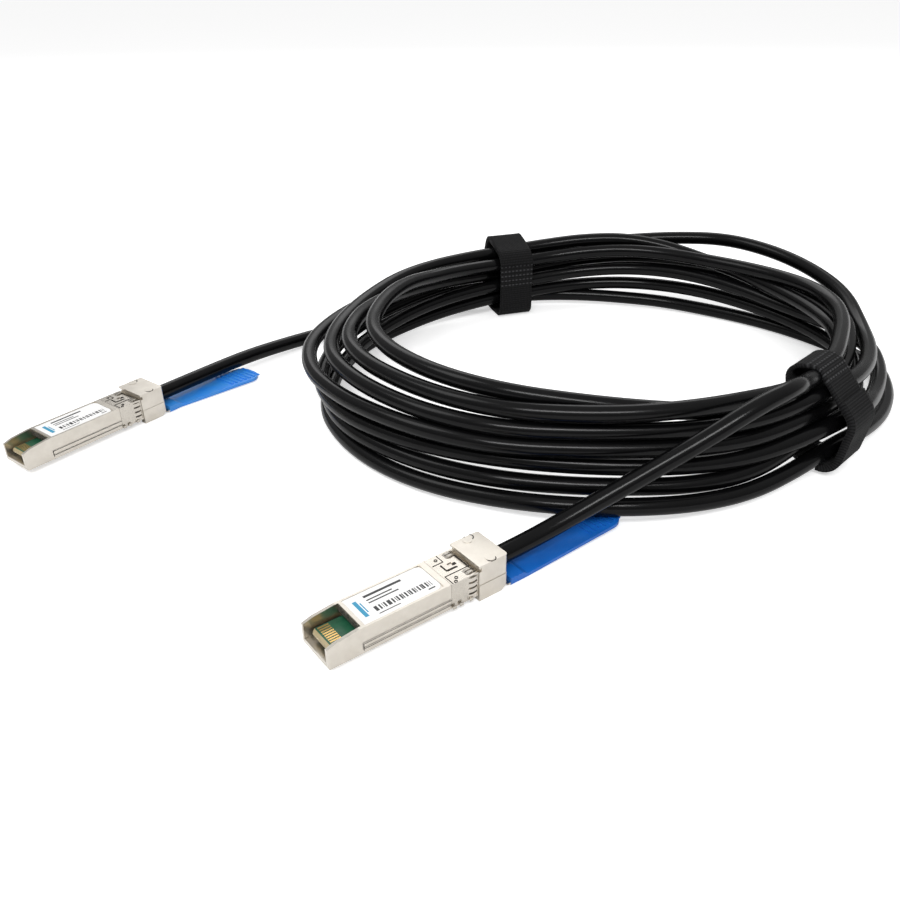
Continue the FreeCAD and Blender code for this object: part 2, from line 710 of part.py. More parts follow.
def head_pins(plug):
    """Two pressed pins that hold the halves of the head together."""
    body = new_body(f"{plug}_head_pins", plug)
    sketch = new_sketch(body, "round", "XY", PIN_BOTTOM)
    circle(sketch, HEAD_MIDDLE, "pin_side", "pin_diameter / 2")
    circle(sketch, HEAD_MIDDLE, "-pin_side", "pin_diameter / 2")
    pad(body, "pair", sketch, f"head_height + pin_proud - {PIN_BOTTOM}")
    return body


def slider(plug):
    """Release slider: two wedge-ended arms beside the latch boss, a joggle and a wide tail."""
    body = new_body(f"{plug}_slider", plug)
    sketch = new_sketch(body, "arm", "XZ")
    tail_end = f"({HEAD_END} + slider_tail)"
    outline(sketch, [
        ("arm_start", ARM_TOP),
        ("arm_start", f"{ARM_TOP} - slider_sheet"),
        ("arm_start + wedge_length * 0.8", f"{ARM_LOW} - wedge_drop"),
        ("arm_start + wedge_length", f"{ARM_LOW} - wedge_drop"),
        ("arm_start + wedge_length", ARM_LOW),
        (JOGGLE, ARM_LOW),
        (JOGGLE, "slider_low"),
        (f"{HEAD_END} - 1", "slider_low"),
        (f"{HEAD_END} - 1", "slider_low + slider_sheet"),
        (f"{JOGGLE} + slider_sheet", "slider_low + slider_sheet"),
        (f"{JOGGLE} + slider_sheet", ARM_TOP),
    ])
    pad(body, "arms", sketch, f"2 * {ARM_OUTER}", symmetric=True)
    sketch = new_sketch(body, "gap", "XY", f"{ARM_TOP} + 1")
    rectangle(sketch, "arm_start - 1", f"{JOGGLE} + slider_sheet + 0.6", "-arm_inner", "arm_inner")
    pocket(body, "between_arms", sketch, "housing_lift + 4")
    sketch = new_sketch(body, "tail", "XY", "slider_low")
    rectangle(sketch, JOGGLE, tail_end, f"-{TAIL_HALF}", TAIL_HALF)
    pad(body, "tail_plate", sketch, "slider_sheet")
    sketch = new_sketch(body, "shoulder", "XY", "slider_low")
    start = f"({HEAD_END} + slider_shoulder)"
    rectangle(sketch, start, f"{start} + 1.2", "-head_width / 2", "head_width / 2")
    pad(body, "shoulders", sketch, "slider_sheet")
    return body


def pull_tab(plug):
    """Flexible pull tab moulded on the slider's tail: hub, sloping strip, round corners and grips."""
    body = new_body(f"{plug}_pull_tab", plug)
    start = f"({HEAD_END} + slider_shoulder + 1.2)"
    hub_end = f"({start} + tab_hub_length)"
    end = f"({HEAD_END} + {plug}_tab_reach)"
    rise, shift = f"{plug}_tab_rise", f"{plug}_tab_shift"
    half = "tab_width / 2"
    sketch = new_sketch(body, "plan", "XY", "tab_hub_low")
    outline(sketch, [
        (start, f"-{half}"),
        (hub_end, f"-{half}"),
        (end, f"{shift} - {half}"),
        (end, f"{shift} + {half}"),
        (hub_end, half),
        (start, half),
    ])
    pad(body, "block", sketch, f"tab_hub_height + {rise}")
    end_x = number(end)
    fillet(body, "end_corners", "tab_corner", lambda edge: edge.CenterOfMass.x > end_x - 0.01 and is_upright(edge))
    reach = f"2 * (tab_width + abs({shift}))"
    sketch = new_sketch(body, "above", "XZ")
    high = f"tab_hub_low + tab_hub_height + {rise} + 1"
    outline(sketch, [
        (f"{start} - 1", "tab_hub_low + tab_hub_height"),
        (f"{hub_end} - 1", "tab_hub_low + tab_hub_height"),
        (f"{hub_end} + 1", "tab_hub_low + tab_thickness"),
        (f"{end} + 1", f"tab_hub_low + tab_thickness + {rise}"),
        (f"{end} + 1", high),
        (f"{start} - 1", high),
    ])
    pocket(body, "upper_face", sketch, reach, symmetric=True)
    sketch = new_sketch(body, "below", "XZ")
    outline(sketch, [
        (hub_end, "tab_hub_low"),
        (f"{end} + 1", f"tab_hub_low + {rise}"),
        (f"{end} + 1", "tab_hub_low - 1"),
        (hub_end, "tab_hub_low - 1"),
    ])
    pocket(body, "lower_face", sketch, reach, symmetric=True)
    sketch = new_sketch(body, "tail", "XY", "slider_low")
    rectangle(sketch, f"{start} - 1", f"{HEAD_END} + slider_tail", f"-{TAIL_HALF}", TAIL_HALF)
    pocket(body, "tail_socket", sketch, "slider_sheet", reverse=True)
    for index in range(int(number("grip_count"))):
        grip_rib(body, index, hub_end, (end, rise, shift))
    return body


def grip_rib(body, index, hub_end, strip):
    """Add one grip rib across the strip of a pull tab."""
    end, rise, shift = strip
    along = f"({end} - grip_inset + {index} * grip_pitch)"
    share = f"(({along} - {hub_end}) / ({end} - {hub_end}))"
    half = "(tab_width / 2 - grip_margin)"
    face = f"(tab_hub_low + tab_thickness + {rise} * {share})"
    sketch = new_sketch(body, f"grip_{index}", "XY", f"{face} - 0.3")
    rectangle(
        sketch, along, f"{along} + grip_length",
        f"{shift} * {share} - {half}", f"{shift} * {share} + {half}",
    )
    pad(body, f"grip_{index}_rib", sketch, "grip_height + 0.3")


def is_upright(edge):
    """Return whether an edge stands upright."""
    ends = [vertex.Point for vertex in edge.Vertexes]
    return len(ends) == 2 and math.hypot(ends[0].x - ends[1].x, ends[0].y - ends[1].y) < 0.01


PLUG_PIECES = (
    upper_shell,
    lower_cover,
    spring_collar,
    label,
    card,
    contact_pads,
    memory_chip,
    capacitors,
    conductors,
    inner_mould,
    braid_clamp,
    head_pins,
    slider,
    pull_tab,
)


def plug_frame(plug):
    """Return the placement of a plug's own frame."""
    base = Vector(number(f"{plug}_nose_x"), number(f"{plug}_nose_y"), 0)
    return FreeCAD.Placement(base, FreeCAD.Rotation(Vector(0, 0, 1), number(f"{plug}_turn")))


def coil_place():
    """Return the placement of the coil's own frame."""
    base = Vector(number("coil_x"), number("coil_y"), 0)
    return FreeCAD.Placement(base, FreeCAD.Rotation(Vector(0, 0, 1), number("coil_turn")))


def coil_frame(body):
    """Put a body in the coil's frame, whose x runs along the coil's long axis."""
    body.Placement = FreeCAD.Placement(Vector(), FreeCAD.Rotation(Vector(0, 0, 1), -1.0))
    body.setExpression("Placement.Base.x", "Sizes.coil_x")
    body.setExpression("Placement.Base.y", "Sizes.coil_y")
    body.setExpression("Placement.Rotation.Angle", "Sizes.coil_turn")


def tied_coil():
    """Plain closed solid of the coiled cord: an oval ring, drawn in where the two straps tie it."""
    solid = oval_disc("coil_outer_long", "coil_outer_short").cut(oval_disc("coil_inner_long", "coil_inner_short"))
    rims = [edge for edge in solid.Edges if edge.BoundBox.ZLength < 0.01]
    solid = solid.makeFillet(number("coil_edge"), rims)
    for name in ("rear", "front"):
        gap, bundle = strap_seat(name)
        solid = solid.cut(gap).fuse(bundle)
    solid = solid.cut(tab_relief())
    coil = doc.addObject("Part::Feature", "coil")
    coil.Label = "coil"
    coil.Shape = solid.removeSplitter()
    coil_frame(coil)
    return coil


def tab_relief():
    """Return the space that the near pull tab needs under the coil's lowest turn, in the coil's frame."""
    side = number("tab_width / 2 + tab_relief_gap")
    high = number("tab_hub_low + near_tab_rise + tab_thickness + grip_height + tab_relief_gap")
    run = 30.0
    stop = number(f"{HEAD_END} + near_tab_reach + release_travel + tab_relief_gap")
    block = Part.makeBox(run, 2 * side, high + 1, Vector(stop - run, -side, -1))
    block.Placement = plug_frame("near")
    return block.transformed(coil_place().inverse().toMatrix())


def oval_disc(long_half, short_half):
    """Return an elliptical disc as high as the coil."""
    along = number(long_half)
    across = number(short_half)
    rim = Part.Ellipse(Vector(), max(along, across), min(along, across)).toShape()
    if across > along:
        rim.rotate(Vector(), Vector(0, 0, 1), 90)
    return Part.Face(Part.Wire(rim)).extrude(Vector(0, 0, number("coil_height")))


def strap_corners(name):
    """Return a strap's outer corners: inner foot, outer foot, outer side, crown and inner side."""
    return [
        (f"-{name}_foot_in", f"{name}_foot_height"),
        (f"{name}_foot_out", f"{name}_foot_height"),
        (f"{name}_side_out", f"{name}_side_height"),
        (f"{name}_crown_out", f"{name}_crown_height"),
        (f"-{name}_inner_in", f"{name}_inner_height"),
    ]


def strap_seat(name):
    """Return the slice taken out of the coil at a strap, and the bundle that fills the strap there."""
    run = number("strap_width + 2 * strap_clearance")
    gap = Part.makeBox(100, run, 90, Vector(-50, -run / 2, -10))
    corners = [Vector(number(across), 0, number(up)) for across, up in strap_corners(name)]
    section = Part.Face(Part.makePolygon(corners + corners[:1]))
    section = section.makeOffset2D(-number("strap_thickness + strap_clearance"))
    section.translate(Vector(0, -run / 2, 0))
    bundle = section.extrude(Vector(0, run, 0))
    bends = [edge for edge in bundle.Edges if edge.BoundBox.YLength > run - 0.1 and edge.BoundBox.XLength < 0.01]
    bundle = bundle.makeFillet(number("strap_corner - strap_clearance"), bends)
    turn = FreeCAD.Rotation(Vector(0, 0, 1), number(f"{name}_strap_turn"))
    place = Vector(number(f"{name}_strap_x"), number(f"{name}_strap_y"), 0)
    for shape in (gap, bundle):
        shape.Placement = FreeCAD.Placement(place, turn)
    return gap, bundle


def tie_strap(name):
    """Hook-and-loop strap closed round the bundle."""
    body = doc.addObject("PartDesign::Body", f"{name}_strap")
    body.Label = f"{name}_strap"
    sketch = new_sketch(body, "band", "XZ")
    outline(sketch, strap_corners(name))
    pad(body, "block", sketch, "strap_width", symmetric=True)
    fillet(body, "bends", "strap_corner + strap_thickness", runs_across_band)
    block = body.Tip
    faces = block.Shape.Faces
    ends = [f"Face{index}" for index, face in enumerate(faces, start=1) if face.BoundBox.YLength < 0.01]
    loop = body.newObject("PartDesign::Thickness", f"{name}_strap_loop")
    loop.Base = (block, ends)
    loop.setExpression("Value", bound("strap_thickness"))
    loop.Reversed = True
    doc.recompute()
    place = FreeCAD.Placement(
        Vector(number(f"{name}_strap_x"), number(f"{name}_strap_y"), 0),
        FreeCAD.Rotation(Vector(0, 0, 1), number(f"{name}_strap_turn")),
    )
    body.Placement = coil_place().multiply(place)
    return body


def runs_across_band(edge):
    """Return whether a straight edge runs along the strap's width."""
    box = edge.BoundBox
    return box.YLength > 1 and box.XLength < 0.01 and box.ZLength < 0.01


def plug_point(plug, along, across, height):
    """Return a point of a plug's own frame in the part's frame."""
    return plug_frame(plug).multVec(Vector(along, across, height))


def cord_tube(name, points):
    """Sweep the cord's round section along straight runs joined by tangent arcs."""
    edges = []
    start = points[0]
    length = 0.0
    radii = []
    for before, corner, after in zip(points, points[1:], points[2:]):
        towards = (before - corner).normalize()
        onwards = (after - corner).normalize()
        half_turn = (math.pi - towards.getAngle(onwards)) / 2
        run = 0.45 * min((corner - before).Length, (after - corner).Length)
        radius = run / math.tan(half_turn)
        radii.append(round(radius))
        entry = corner + towards * run
        leave = corner + onwards * run
        bisector = (towards + onwards).normalize()
        middle = corner + bisector * (radius / math.cos(half_turn) - radius)
        edges.append(Part.LineSegment(start, entry).toShape())
        edges.append(Part.Arc(entry, middle, leave).toShape())
        start = leave
    edges.append(Part.LineSegment(start, points[-1]).toShape())
    path = Part.Wire(edges)
    radius = number("cable_diameter / 2")
    section = Part.Wire(Part.Circle(points[0], points[1] - points[0], radius).toShape())
    shape = path.makePipeShell([section], True, False)
    expected = math.pi * radius ** 2 * path.Length
    print(f"{name}: length {path.Length:.1f}, radii {radii}, volume ratio {shape.Volume / expected:.4f}")
    tube = doc.addObject("Part::Feature", name)
    tube.Label = name
    tube.Shape = shape
    return tube


def near_lead():
    """Cord from the near head up on to the coil."""
    stop = number(CABLE_STOP)
    height = number("cable_height")
    points = [
        plug_point("near", stop, 0, height),
        plug_point("near", stop + 20, 0, height),
        Vector(37, -3.2, 11.3),
        Vector(57, -9.6, 19.6),
        Vector(76, -17.0, 29.4),
        Vector(94, -22.8, 38.6),
        Vector(112, -25.4, 42.6),
        Vector(126, -25.0, 42.8),
    ]
    return cord_tube("near_lead", points)


def far_lead():
    """Cord from the far head along the floor to the outside of the coil."""
    stop = number(CABLE_STOP)
    height = number("cable_height")
    points = [
        plug_point("far", stop, 0, height),
        plug_point("far", stop + 18, 0, height),
        plug_point("far", stop + 38, 0.4, height - 0.3),
        plug_point("far", stop + 58, 0.6, height - 0.7),
        Vector(32, 184.6, 4.4),
        Vector(54, 187.2, 3.4),
        Vector(77, 187.4, 3.3),
        Vector(98, 185.4, 3.5),
        Vector(117, 181.8, 3.5),
        Vector(131, 177.9, 3.7),
    ]
    return cord_tube("far_lead", points)


def build():
    """Build every piece and return the objects to export."""
    pieces = [make(plug) for plug in ("near", "far") for make in PLUG_PIECES]
    pieces += [near_lead(), far_lead(), tied_coil(), tie_strap("rear"), tie_strap("front")]
    return pieces


def check(pieces):
    """Stop if an object failed or a shape is empty or not valid."""
    failed = [item.Name for item in doc.Objects if "Invalid" in item.State or "Error" in item.State]
    if failed:
        raise ValueError(f"failed: {failed}")
    for piece in pieces:
        if piece.Shape.isNull() or not piece.Shape.isValid() or not piece.Shape.Solids:
            raise ValueError(f"{piece.Label} has no valid solid")


def export(pieces):
    """Write each piece to its own STEP file."""
    os.makedirs("parts", exist_ok=True)
    for piece in pieces:
        piece.Shape.exportStep(f"parts/{piece.Label}.step")
        print(f"{piece.Label}: {len(piece.Shape.Solids)} solid(s), {piece.Shape.Volume:.1f} mm3")


all_pieces = build()
doc.recompute()
check(all_pieces)
export(all_pieces)
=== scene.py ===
"""Dressed scene of the direct attach copper cable: finishes, coiled cord, straps, stage and camera."""

import logging
import math
from dataclasses import dataclass
from enum import Enum

import bmesh
import bpy
from mathutils import Euler, Matrix, Vector


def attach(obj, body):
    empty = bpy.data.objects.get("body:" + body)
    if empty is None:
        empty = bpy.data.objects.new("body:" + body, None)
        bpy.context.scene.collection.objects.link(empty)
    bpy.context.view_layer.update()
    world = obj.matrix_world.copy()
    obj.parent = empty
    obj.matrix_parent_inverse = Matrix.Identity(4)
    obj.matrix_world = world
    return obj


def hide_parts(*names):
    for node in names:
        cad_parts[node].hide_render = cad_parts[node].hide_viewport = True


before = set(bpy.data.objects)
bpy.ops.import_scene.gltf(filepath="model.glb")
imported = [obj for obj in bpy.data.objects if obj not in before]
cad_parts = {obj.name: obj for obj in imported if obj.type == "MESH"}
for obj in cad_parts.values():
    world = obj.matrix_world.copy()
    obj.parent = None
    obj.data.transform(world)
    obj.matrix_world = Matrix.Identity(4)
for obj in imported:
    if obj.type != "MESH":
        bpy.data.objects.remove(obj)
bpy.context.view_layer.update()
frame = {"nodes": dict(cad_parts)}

LOG = logging.getLogger("direct_attach_cable")
MM = 0.001
FULL_TURN = 360.0
MIX_FIRST, MIX_SECOND, MIX_RESULT = 6, 7, 2


def stand(name: str, data: bpy.types.ID) -> bpy.types.Object:
    """Make an object at the origin from its data and link it to the scene."""
    obj = bpy.data.objects.new(name, data)
    bpy.context.scene.collection.objects.link(obj)
    return obj


def grow(mesh: bmesh.types.BMesh, faces: list, move: tuple = (0.0, 0.0, 0.0)) -> list:
    """Extrude faces and move what was extruded.

    Args:
        mesh: The mesh that the faces are in.
        faces: The faces to extrude, as one region.
        move: How far the new faces move.

    Returns:
        The new vertices.
    """
    made = bmesh.ops.extrude_face_region(mesh, geom=faces)
    fresh = [item for item in made["geom"] if isinstance(item, bmesh.types.BMVert)]
    bmesh.ops.translate(mesh, verts=fresh, vec=move)
    return fresh


class Plug(Enum):
    """The two ends of the cable, with the place of each nose on the floor and its turn."""

    NEAR = ("near", -54.1, 0.0, 0.0)
    FAR = ("far", -91.05, 150.62, 15.84)

    @property
    def prefix(self) -> str:
        """Return the prefix of the plug's nodes."""
        return self.value[0]

    @property
    def placement(self) -> Matrix:
        """Return the matrix from the plug's own millimetres to the frame's metres."""
        _, nose_x, nose_y, turn = self.value
        move = Matrix.Translation((nose_x * MM, nose_y * MM, 0.0))
        return move @ Matrix.Rotation(math.radians(turn), 4, "Z") @ Matrix.Scale(MM, 4)

    def point(self, along: float, across: float, height: float) -> Vector:
        """Return a point of the plug's own frame in metres."""
        return self.placement @ Vector((along, across, height))


@dataclass(frozen=True)
class CoilFrame:
    """The coil's own frame: its centre in millimetres and its turn in degrees."""

    centre: tuple = (124.7, 72.6)
    turn: float = -36.67

    @property
    def placement(self) -> Matrix:
        """Return the matrix from the coil's own millimetres to the frame's metres."""
        move = Matrix.Translation((self.centre[0] * MM, self.centre[1] * MM, 0.0))
        return move @ Matrix.Rotation(math.radians(self.turn), 4, "Z") @ Matrix.Scale(MM, 4)


class Graph:
    """Small helper that adds and links shader nodes of one material."""

    def __init__(self, name: str) -> None:
        """Make the material and clear its nodes.

        Args:
            name: Name of the material.
        """
        self.material = bpy.data.materials.new(name)
        self.material.use_nodes = True
        self.tree = self.material.node_tree
        self.tree.nodes.clear()
        self.output = self.add("ShaderNodeOutputMaterial")
        self.coordinates = self.add("ShaderNodeTexCoord")

    def add(self, kind: str, **values: object) -> bpy.types.Node:
        """Add a node and set its attributes.

        Args:
            kind: Type of the node.
            **values: Attributes of the node.

        Returns:
            The new node.
        """
        node = self.tree.nodes.new(kind)
        for name, value in values.items():
            setattr(node, name, value)
        return node

    def link(self, start: bpy.types.NodeSocket, end: bpy.types.NodeSocket) -> None:
        """Link two sockets."""
        self.tree.links.new(start, end)

    def principled(
        self, colour: tuple, roughness: float, metallic: float = 0.0, **sockets: float
    ) -> bpy.types.Node:
        """Add a Principled shader linked to the output.

        Args:
            colour: Linear base colour.
            roughness: Roughness.
            metallic: Metallic share.
            **sockets: Other input values by socket name, with underscores for spaces.

        Returns:
            The shader node.
        """
        shader = self.add("ShaderNodeBsdfPrincipled")
        shader.inputs["Base Color"].default_value = (*colour, 1.0)
        shader.inputs["Roughness"].default_value = roughness
        shader.inputs["Metallic"].default_value = metallic
        for name, value in sockets.items():
            shader.inputs[name.replace("_", " ")].default_value = value
        self.link(shader.outputs["BSDF"], self.output.inputs["Surface"])
        return shader

    def noise(self, scale: float, detail: float = 3.0) -> bpy.types.NodeSocket:
        """Add noise on object coordinates.

        Args:
            scale: Scale of the noise, per metre.
            detail: Detail of the noise.

        Returns:
            The factor socket.
        """
        texture = self.add("ShaderNodeTexNoise")
        texture.inputs["Scale"].default_value = scale
        texture.inputs["Detail"].default_value = detail
        self.link(self.coordinates.outputs["Object"], texture.inputs["Vector"])
        return texture.outputs["Fac"]

    def ramp(self, source: bpy.types.NodeSocket, stops: list) -> bpy.types.NodeSocket:
        """Map a factor through a colour ramp.

        Args:
            source: Factor socket.
            stops: Pairs of position and linear colour.

        Returns:
            The colour socket.
        """
        node = self.add("ShaderNodeValToRGB")
        elements = node.color_ramp.elements
        for index, (place, colour) in enumerate(stops):
            element = elements[index] if index < 2 else elements.new(place)
            element.position = place
            element.color = (*colour, 1.0)
        self.link(source, node.inputs["Fac"])
        return node.outputs["Color"]

    def plug_place(self, plug: Plug) -> tuple:
        """Measure places on a plug in its own millimetres.

        Args:
            plug: The plug.

        Returns:
            Sockets with the place along and across the plug.
        """
        mapping = self.add("ShaderNodeMapping", vector_type="TEXTURE")
        _, nose_x, nose_y, turn = plug.value
        mapping.inputs["Location"].default_value = (nose_x * MM, nose_y * MM, 0.0)
        mapping.inputs["Rotation"].default_value = (0.0, 0.0, math.radians(turn))
        mapping.inputs["Scale"].default_value = (MM, MM, MM)
        split = self.add("ShaderNodeSeparateXYZ")
        self.link(self.coordinates.outputs["Object"], mapping.inputs["Vector"])
        self.link(mapping.outputs["Vector"], split.inputs["Vector"])
        return split.outputs["X"], split.outputs["Y"]

    def maths(self, operation: str, *values: bpy.types.NodeSocket | float) -> bpy.types.NodeSocket:
        """Combine sockets or numbers with one math node.

        Args:
            operation: The math node's operation.
            *values: Sockets or plain numbers, in order.

        Returns:
            The result socket.
        """
        node = self.add("ShaderNodeMath", operation=operation)
        for socket, value in zip(node.inputs, values):
            if isinstance(value, (int, float)):
                socket.default_value = value
            else:
                self.link(value, socket)
        return node.outputs["Value"]

    def within(self, place: bpy.types.NodeSocket, low: float, high: float) -> bpy.types.NodeSocket:
        """Return 1 where a place lies between two values and 0 elsewhere."""
        return self.maths("MULTIPLY", self.maths("GREATER_THAN", place, low), self.maths("LESS_THAN", place, high))

    def blend(
        self, factor: bpy.types.NodeSocket, first: bpy.types.NodeSocket | tuple, second: tuple
    ) -> bpy.types.NodeSocket:
        """Blend a first colour into a second one.

        Args:
            factor: Share of the second colour.
            first: Linear colour, or the socket of one.
            second: Linear colour.

        Returns:
            The colour socket.
        """
        node = self.add("ShaderNodeMix", data_type="RGBA")
        self.link(factor, node.inputs["Factor"])
        if isinstance(first, tuple):
            node.inputs[MIX_FIRST].default_value = (*first, 1.0)
        else:
            self.link(first, node.inputs[MIX_FIRST])
        node.inputs[MIX_SECOND].default_value = (*second, 1.0)
        return node.outputs[MIX_RESULT]

    def wave(self, place: bpy.types.NodeSocket, pitch: float) -> bpy.types.NodeSocket:
        """Return a cosine of a place with the given pitch, between 0 and 1."""
        angle = self.maths("MULTIPLY", place, 2 * math.pi / pitch)
        return self.maths("MULTIPLY_ADD", self.maths("COSINE", angle), 0.5, 0.5)

    def bump(self, source: bpy.types.NodeSocket, strength: float, distance: float) -> bpy.types.NodeSocket:
        """Turn a height into a bumped normal.

        Args:
            source: Height socket.
            strength: Share of the bump.
            distance: Its depth in metres.

        Returns:
            The normal socket.
        """
        node = self.add("ShaderNodeBump")
        node.inputs["Strength"].default_value = strength
        node.inputs["Distance"].default_value = distance
        self.link(source, node.inputs["Height"])
        return node.outputs["Normal"]


@dataclass(frozen=True)
class SpeckledFinish:
    """Finish with a slight change of colour, roughness and height over the surface."""

    name: str
    colour: tuple
    second: tuple
    roughness: float
    roughness_spread: float = 0.08
    metallic: float = 0.0
    grain: float = 900.0
    grain_depth: float = 0.02
    tone_share: float = 0.12
    sockets: tuple = ()

    def build(self) -> bpy.types.Material:
        """Build the material.

        Returns:
            The material.
        """
        graph = Graph(self.name)
        shader = graph.principled(self.colour, self.roughness, self.metallic, **dict(self.sockets))
        tone = graph.noise(self.grain * self.tone_share, 4.0)
        graph.link(graph.ramp(tone, [(0.35, self.colour), (0.7, self.second)]), shader.inputs["Base Color"])
        spread = graph.add("ShaderNodeMapRange")
        spread.inputs["To Min"].default_value = self.roughness - self.roughness_spread
        spread.inputs["To Max"].default_value = self.roughness + self.roughness_spread
        grain = graph.noise(self.grain)
        graph.link(grain, spread.inputs["Value"])
        graph.link(spread.outputs["Result"], shader.inputs["Roughness"])
        graph.link(graph.bump(grain, self.grain_depth, 0.0002), shader.inputs["Normal"])
        return graph.material


class Finish(Enum):
    """The finishes of the cable's pieces."""

    CAST_METAL = SpeckledFinish(
        "satin_cast_metal", (0.70, 0.655, 0.585), (0.76, 0.715, 0.645), 0.30, 0.05, 1.0, 2600.0, 0.05
    )
    SPRING_SHEET = SpeckledFinish(
        "plated_spring_sheet", (0.62, 0.58, 0.52), (0.69, 0.65, 0.585), 0.26, 0.06, 1.0, 1800.0, 0.03
    )
    GOLD = SpeckledFinish("gold_plating", (0.80, 0.52, 0.20), (0.86, 0.60, 0.26), 0.24, 0.06, 1.0, 3000.0, 0.02)
    CHIP = SpeckledFinish("chip_package", (0.012, 0.012, 0.013), (0.02, 0.02, 0.021), 0.5, 0.05, 0.0, 4000.0, 0.05)
    CERAMIC = SpeckledFinish("ceramic_capacitor", (0.30, 0.19, 0.10), (0.36, 0.25, 0.14), 0.45, 0.05, 0.0, 3000.0, 0.02)
    INSULATION = SpeckledFinish("conductor_insulation", (0.7, 0.7, 0.66), (0.76, 0.76, 0.73), 0.3, 0.05)
    # Painted shade: dark fill standing for the shade in parting gaps, panel seams, slots and small round recesses.
    GAP = SpeckledFinish("painted_gap_shade", (0.022, 0.019, 0.015), (0.045, 0.039, 0.032), 0.6, 0.05, 0.3, 2400.0, 0.05)
    # Painted shade: dark speckled sheet for the shade inside the open nose.
    DARK_SKIN = SpeckledFinish(
        "painted_mouth_shade", (0.035, 0.028, 0.021), (0.075, 0.062, 0.048), 0.45, 0.08, 0.5, 1500.0, 0.1
    )
    # Painted shade: speckled dark face under the front edge of the top plate.
    ROUGH_EDGE = SpeckledFinish(
        "painted_plate_edge_shade", (0.03, 0.028, 0.024), (0.20, 0.185, 0.16), 0.6, 0.08, 0.6, 9000.0, 0.3
    )
    MOULD = SpeckledFinish("relief_mould", (0.02, 0.02, 0.02), (0.03, 0.03, 0.03), 0.55, 0.05)
    # The two pull tabs are one blue plastic: the near copy is darker with painted shade and the far copy paler with
    # painted light.
    NEAR_TAB = SpeckledFinish(
        "near_tab_plastic", (0.006, 0.125, 0.52), (0.008, 0.145, 0.58), 0.38, 0.06, 0.0, 1500.0, 0.06
    )
    FAR_TAB = SpeckledFinish(
        "far_tab_plastic", (0.040, 0.26, 0.72), (0.016, 0.23, 0.80), 0.38, 0.06, 0.0, 1500.0, 0.06
    )
    JACKET = SpeckledFinish(
        "cord_jacket", (0.0020, 0.0020, 0.0022), (0.0030, 0.0030, 0.0033), 0.21, 0.04, 0.0, 1200.0, 0.03,
        sockets=(("Specular_IOR_Level", 0.20),),
    )


NODE_FINISHES = {
    "upper_shell": Finish.CAST_METAL,
    "lower_cover": Finish.CAST_METAL,
    "spring_collar": Finish.SPRING_SHEET,
    "contact_pads": Finish.GOLD,
    "memory_chip": Finish.CHIP,
    "capacitors": Finish.CERAMIC,
    "conductors": Finish.INSULATION,
    "inner_mould": Finish.MOULD,
    "braid_clamp": Finish.SPRING_SHEET,
    "head_pins": Finish.CAST_METAL,
    "slider": Finish.SPRING_SHEET,
}


class Workshop:
    """Keeps one material for each finish and makes objects from bmeshes."""

    def __init__(self) -> None:
        """Start with no materials."""
        self.made: dict = {}

    def material(self, finish: Finish) -> bpy.types.Material:
        """Return the material of a finish, made once."""
        if finish not in self.made:
            self.made[finish] = finish.value.build()
        return self.made[finish]

    def dress(self, obj: bpy.types.Object, material: bpy.types.Material) -> None:
        """Give an object one material in all its slots.

        Args:
            obj: The object.
            material: Its material.
        """
        if not obj.material_slots:
            obj.data.materials.append(material)
        for slot in obj.material_slots:
            slot.material = material

    def piece(self, name: str, mesh: bmesh.types.BMesh, material: bpy.types.Material) -> bpy.types.Object:
        """Make an object at the origin from a bmesh.

        Args:
            name: Name of the piece.
            mesh: The bmesh, which is freed.
            material: Its material.

        Returns:
            The new object.
        """
        bmesh.ops.recalc_face_normals(mesh, faces=mesh.faces)
        data = bpy.data.meshes.new(name)
        mesh.to_mesh(data)
        mesh.free()
        data.materials.append(material)
        return stand(name, data)


@dataclass(frozen=True)
class LabelFinish:
    """White film with plain printed fields: a colour block, grey rows and a striped strip."""

    name: str
    plug: Plug
    film: tuple = (0.93, 0.925, 0.915)
    ink: tuple = (0.03, 0.03, 0.032)
    tint: tuple = (0.03, 0.30, 0.50)
    blocks: tuple = ((13.7, 14.9, -3.6, 3.6), (15.2, 15.6, -2.2, 2.2))
    rows: tuple = (
        (17.4, 29.6, 3.3, 4.2), (17.4, 25.6, 1.8, 2.3), (17.4, 27.0, 0.6, 1.1), (17.4, 24.2, -4.6, -4.25),
        (33.4, 35.6, -4.6, -4.1),
    )
    strip: tuple = (17.4, 35.6, -3.3, -1.2)
    strip_pitches: tuple = (0.83, 1.37)
    strip_level: float = 0.95

    def fields(self, graph: Graph, place: tuple, areas: tuple) -> bpy.types.NodeSocket:
        """Return 1 inside any of the label's rectangles and 0 outside them.

        Args:
            graph: The material's nodes.
            place: Sockets with the place along and across the plug.
            areas: The rectangles: their spans along, then across, in the plug's millimetres.

        Returns:
            The mask's socket.
        """
        mask = None
        for low_x, high_x, low_y, high_y in areas:
            spans = graph.within(place[0], low_x, high_x), graph.within(place[1], low_y, high_y)
            area = graph.maths("MULTIPLY", *spans)
            mask = area if mask is None else graph.maths("MAXIMUM", mask, area)
        return mask

    def build(self) -> bpy.types.Material:
        """Build the material.

        Returns:
            The material.
        """
        graph = Graph(self.name)
        shader = graph.principled(self.film, 0.38)
        place = graph.plug_place(self.plug)
        beat = graph.maths("ADD", *(graph.wave(place[0], pitch) for pitch in self.strip_pitches))
        stripes = graph.maths(
            "MULTIPLY", self.fields(graph, place, (self.strip,)), graph.maths("GREATER_THAN", beat, self.strip_level)
        )
        ink = graph.maths("MAXIMUM", self.fields(graph, place, self.rows), stripes)
        printed = graph.blend(self.fields(graph, place, self.blocks), graph.blend(ink, self.film, self.ink), self.tint)
        graph.link(printed, shader.inputs["Base Color"])
        graph.link(graph.bump(graph.noise(1500.0, 2.0), 0.02, 0.0001), shader.inputs["Normal"])
        return graph.material


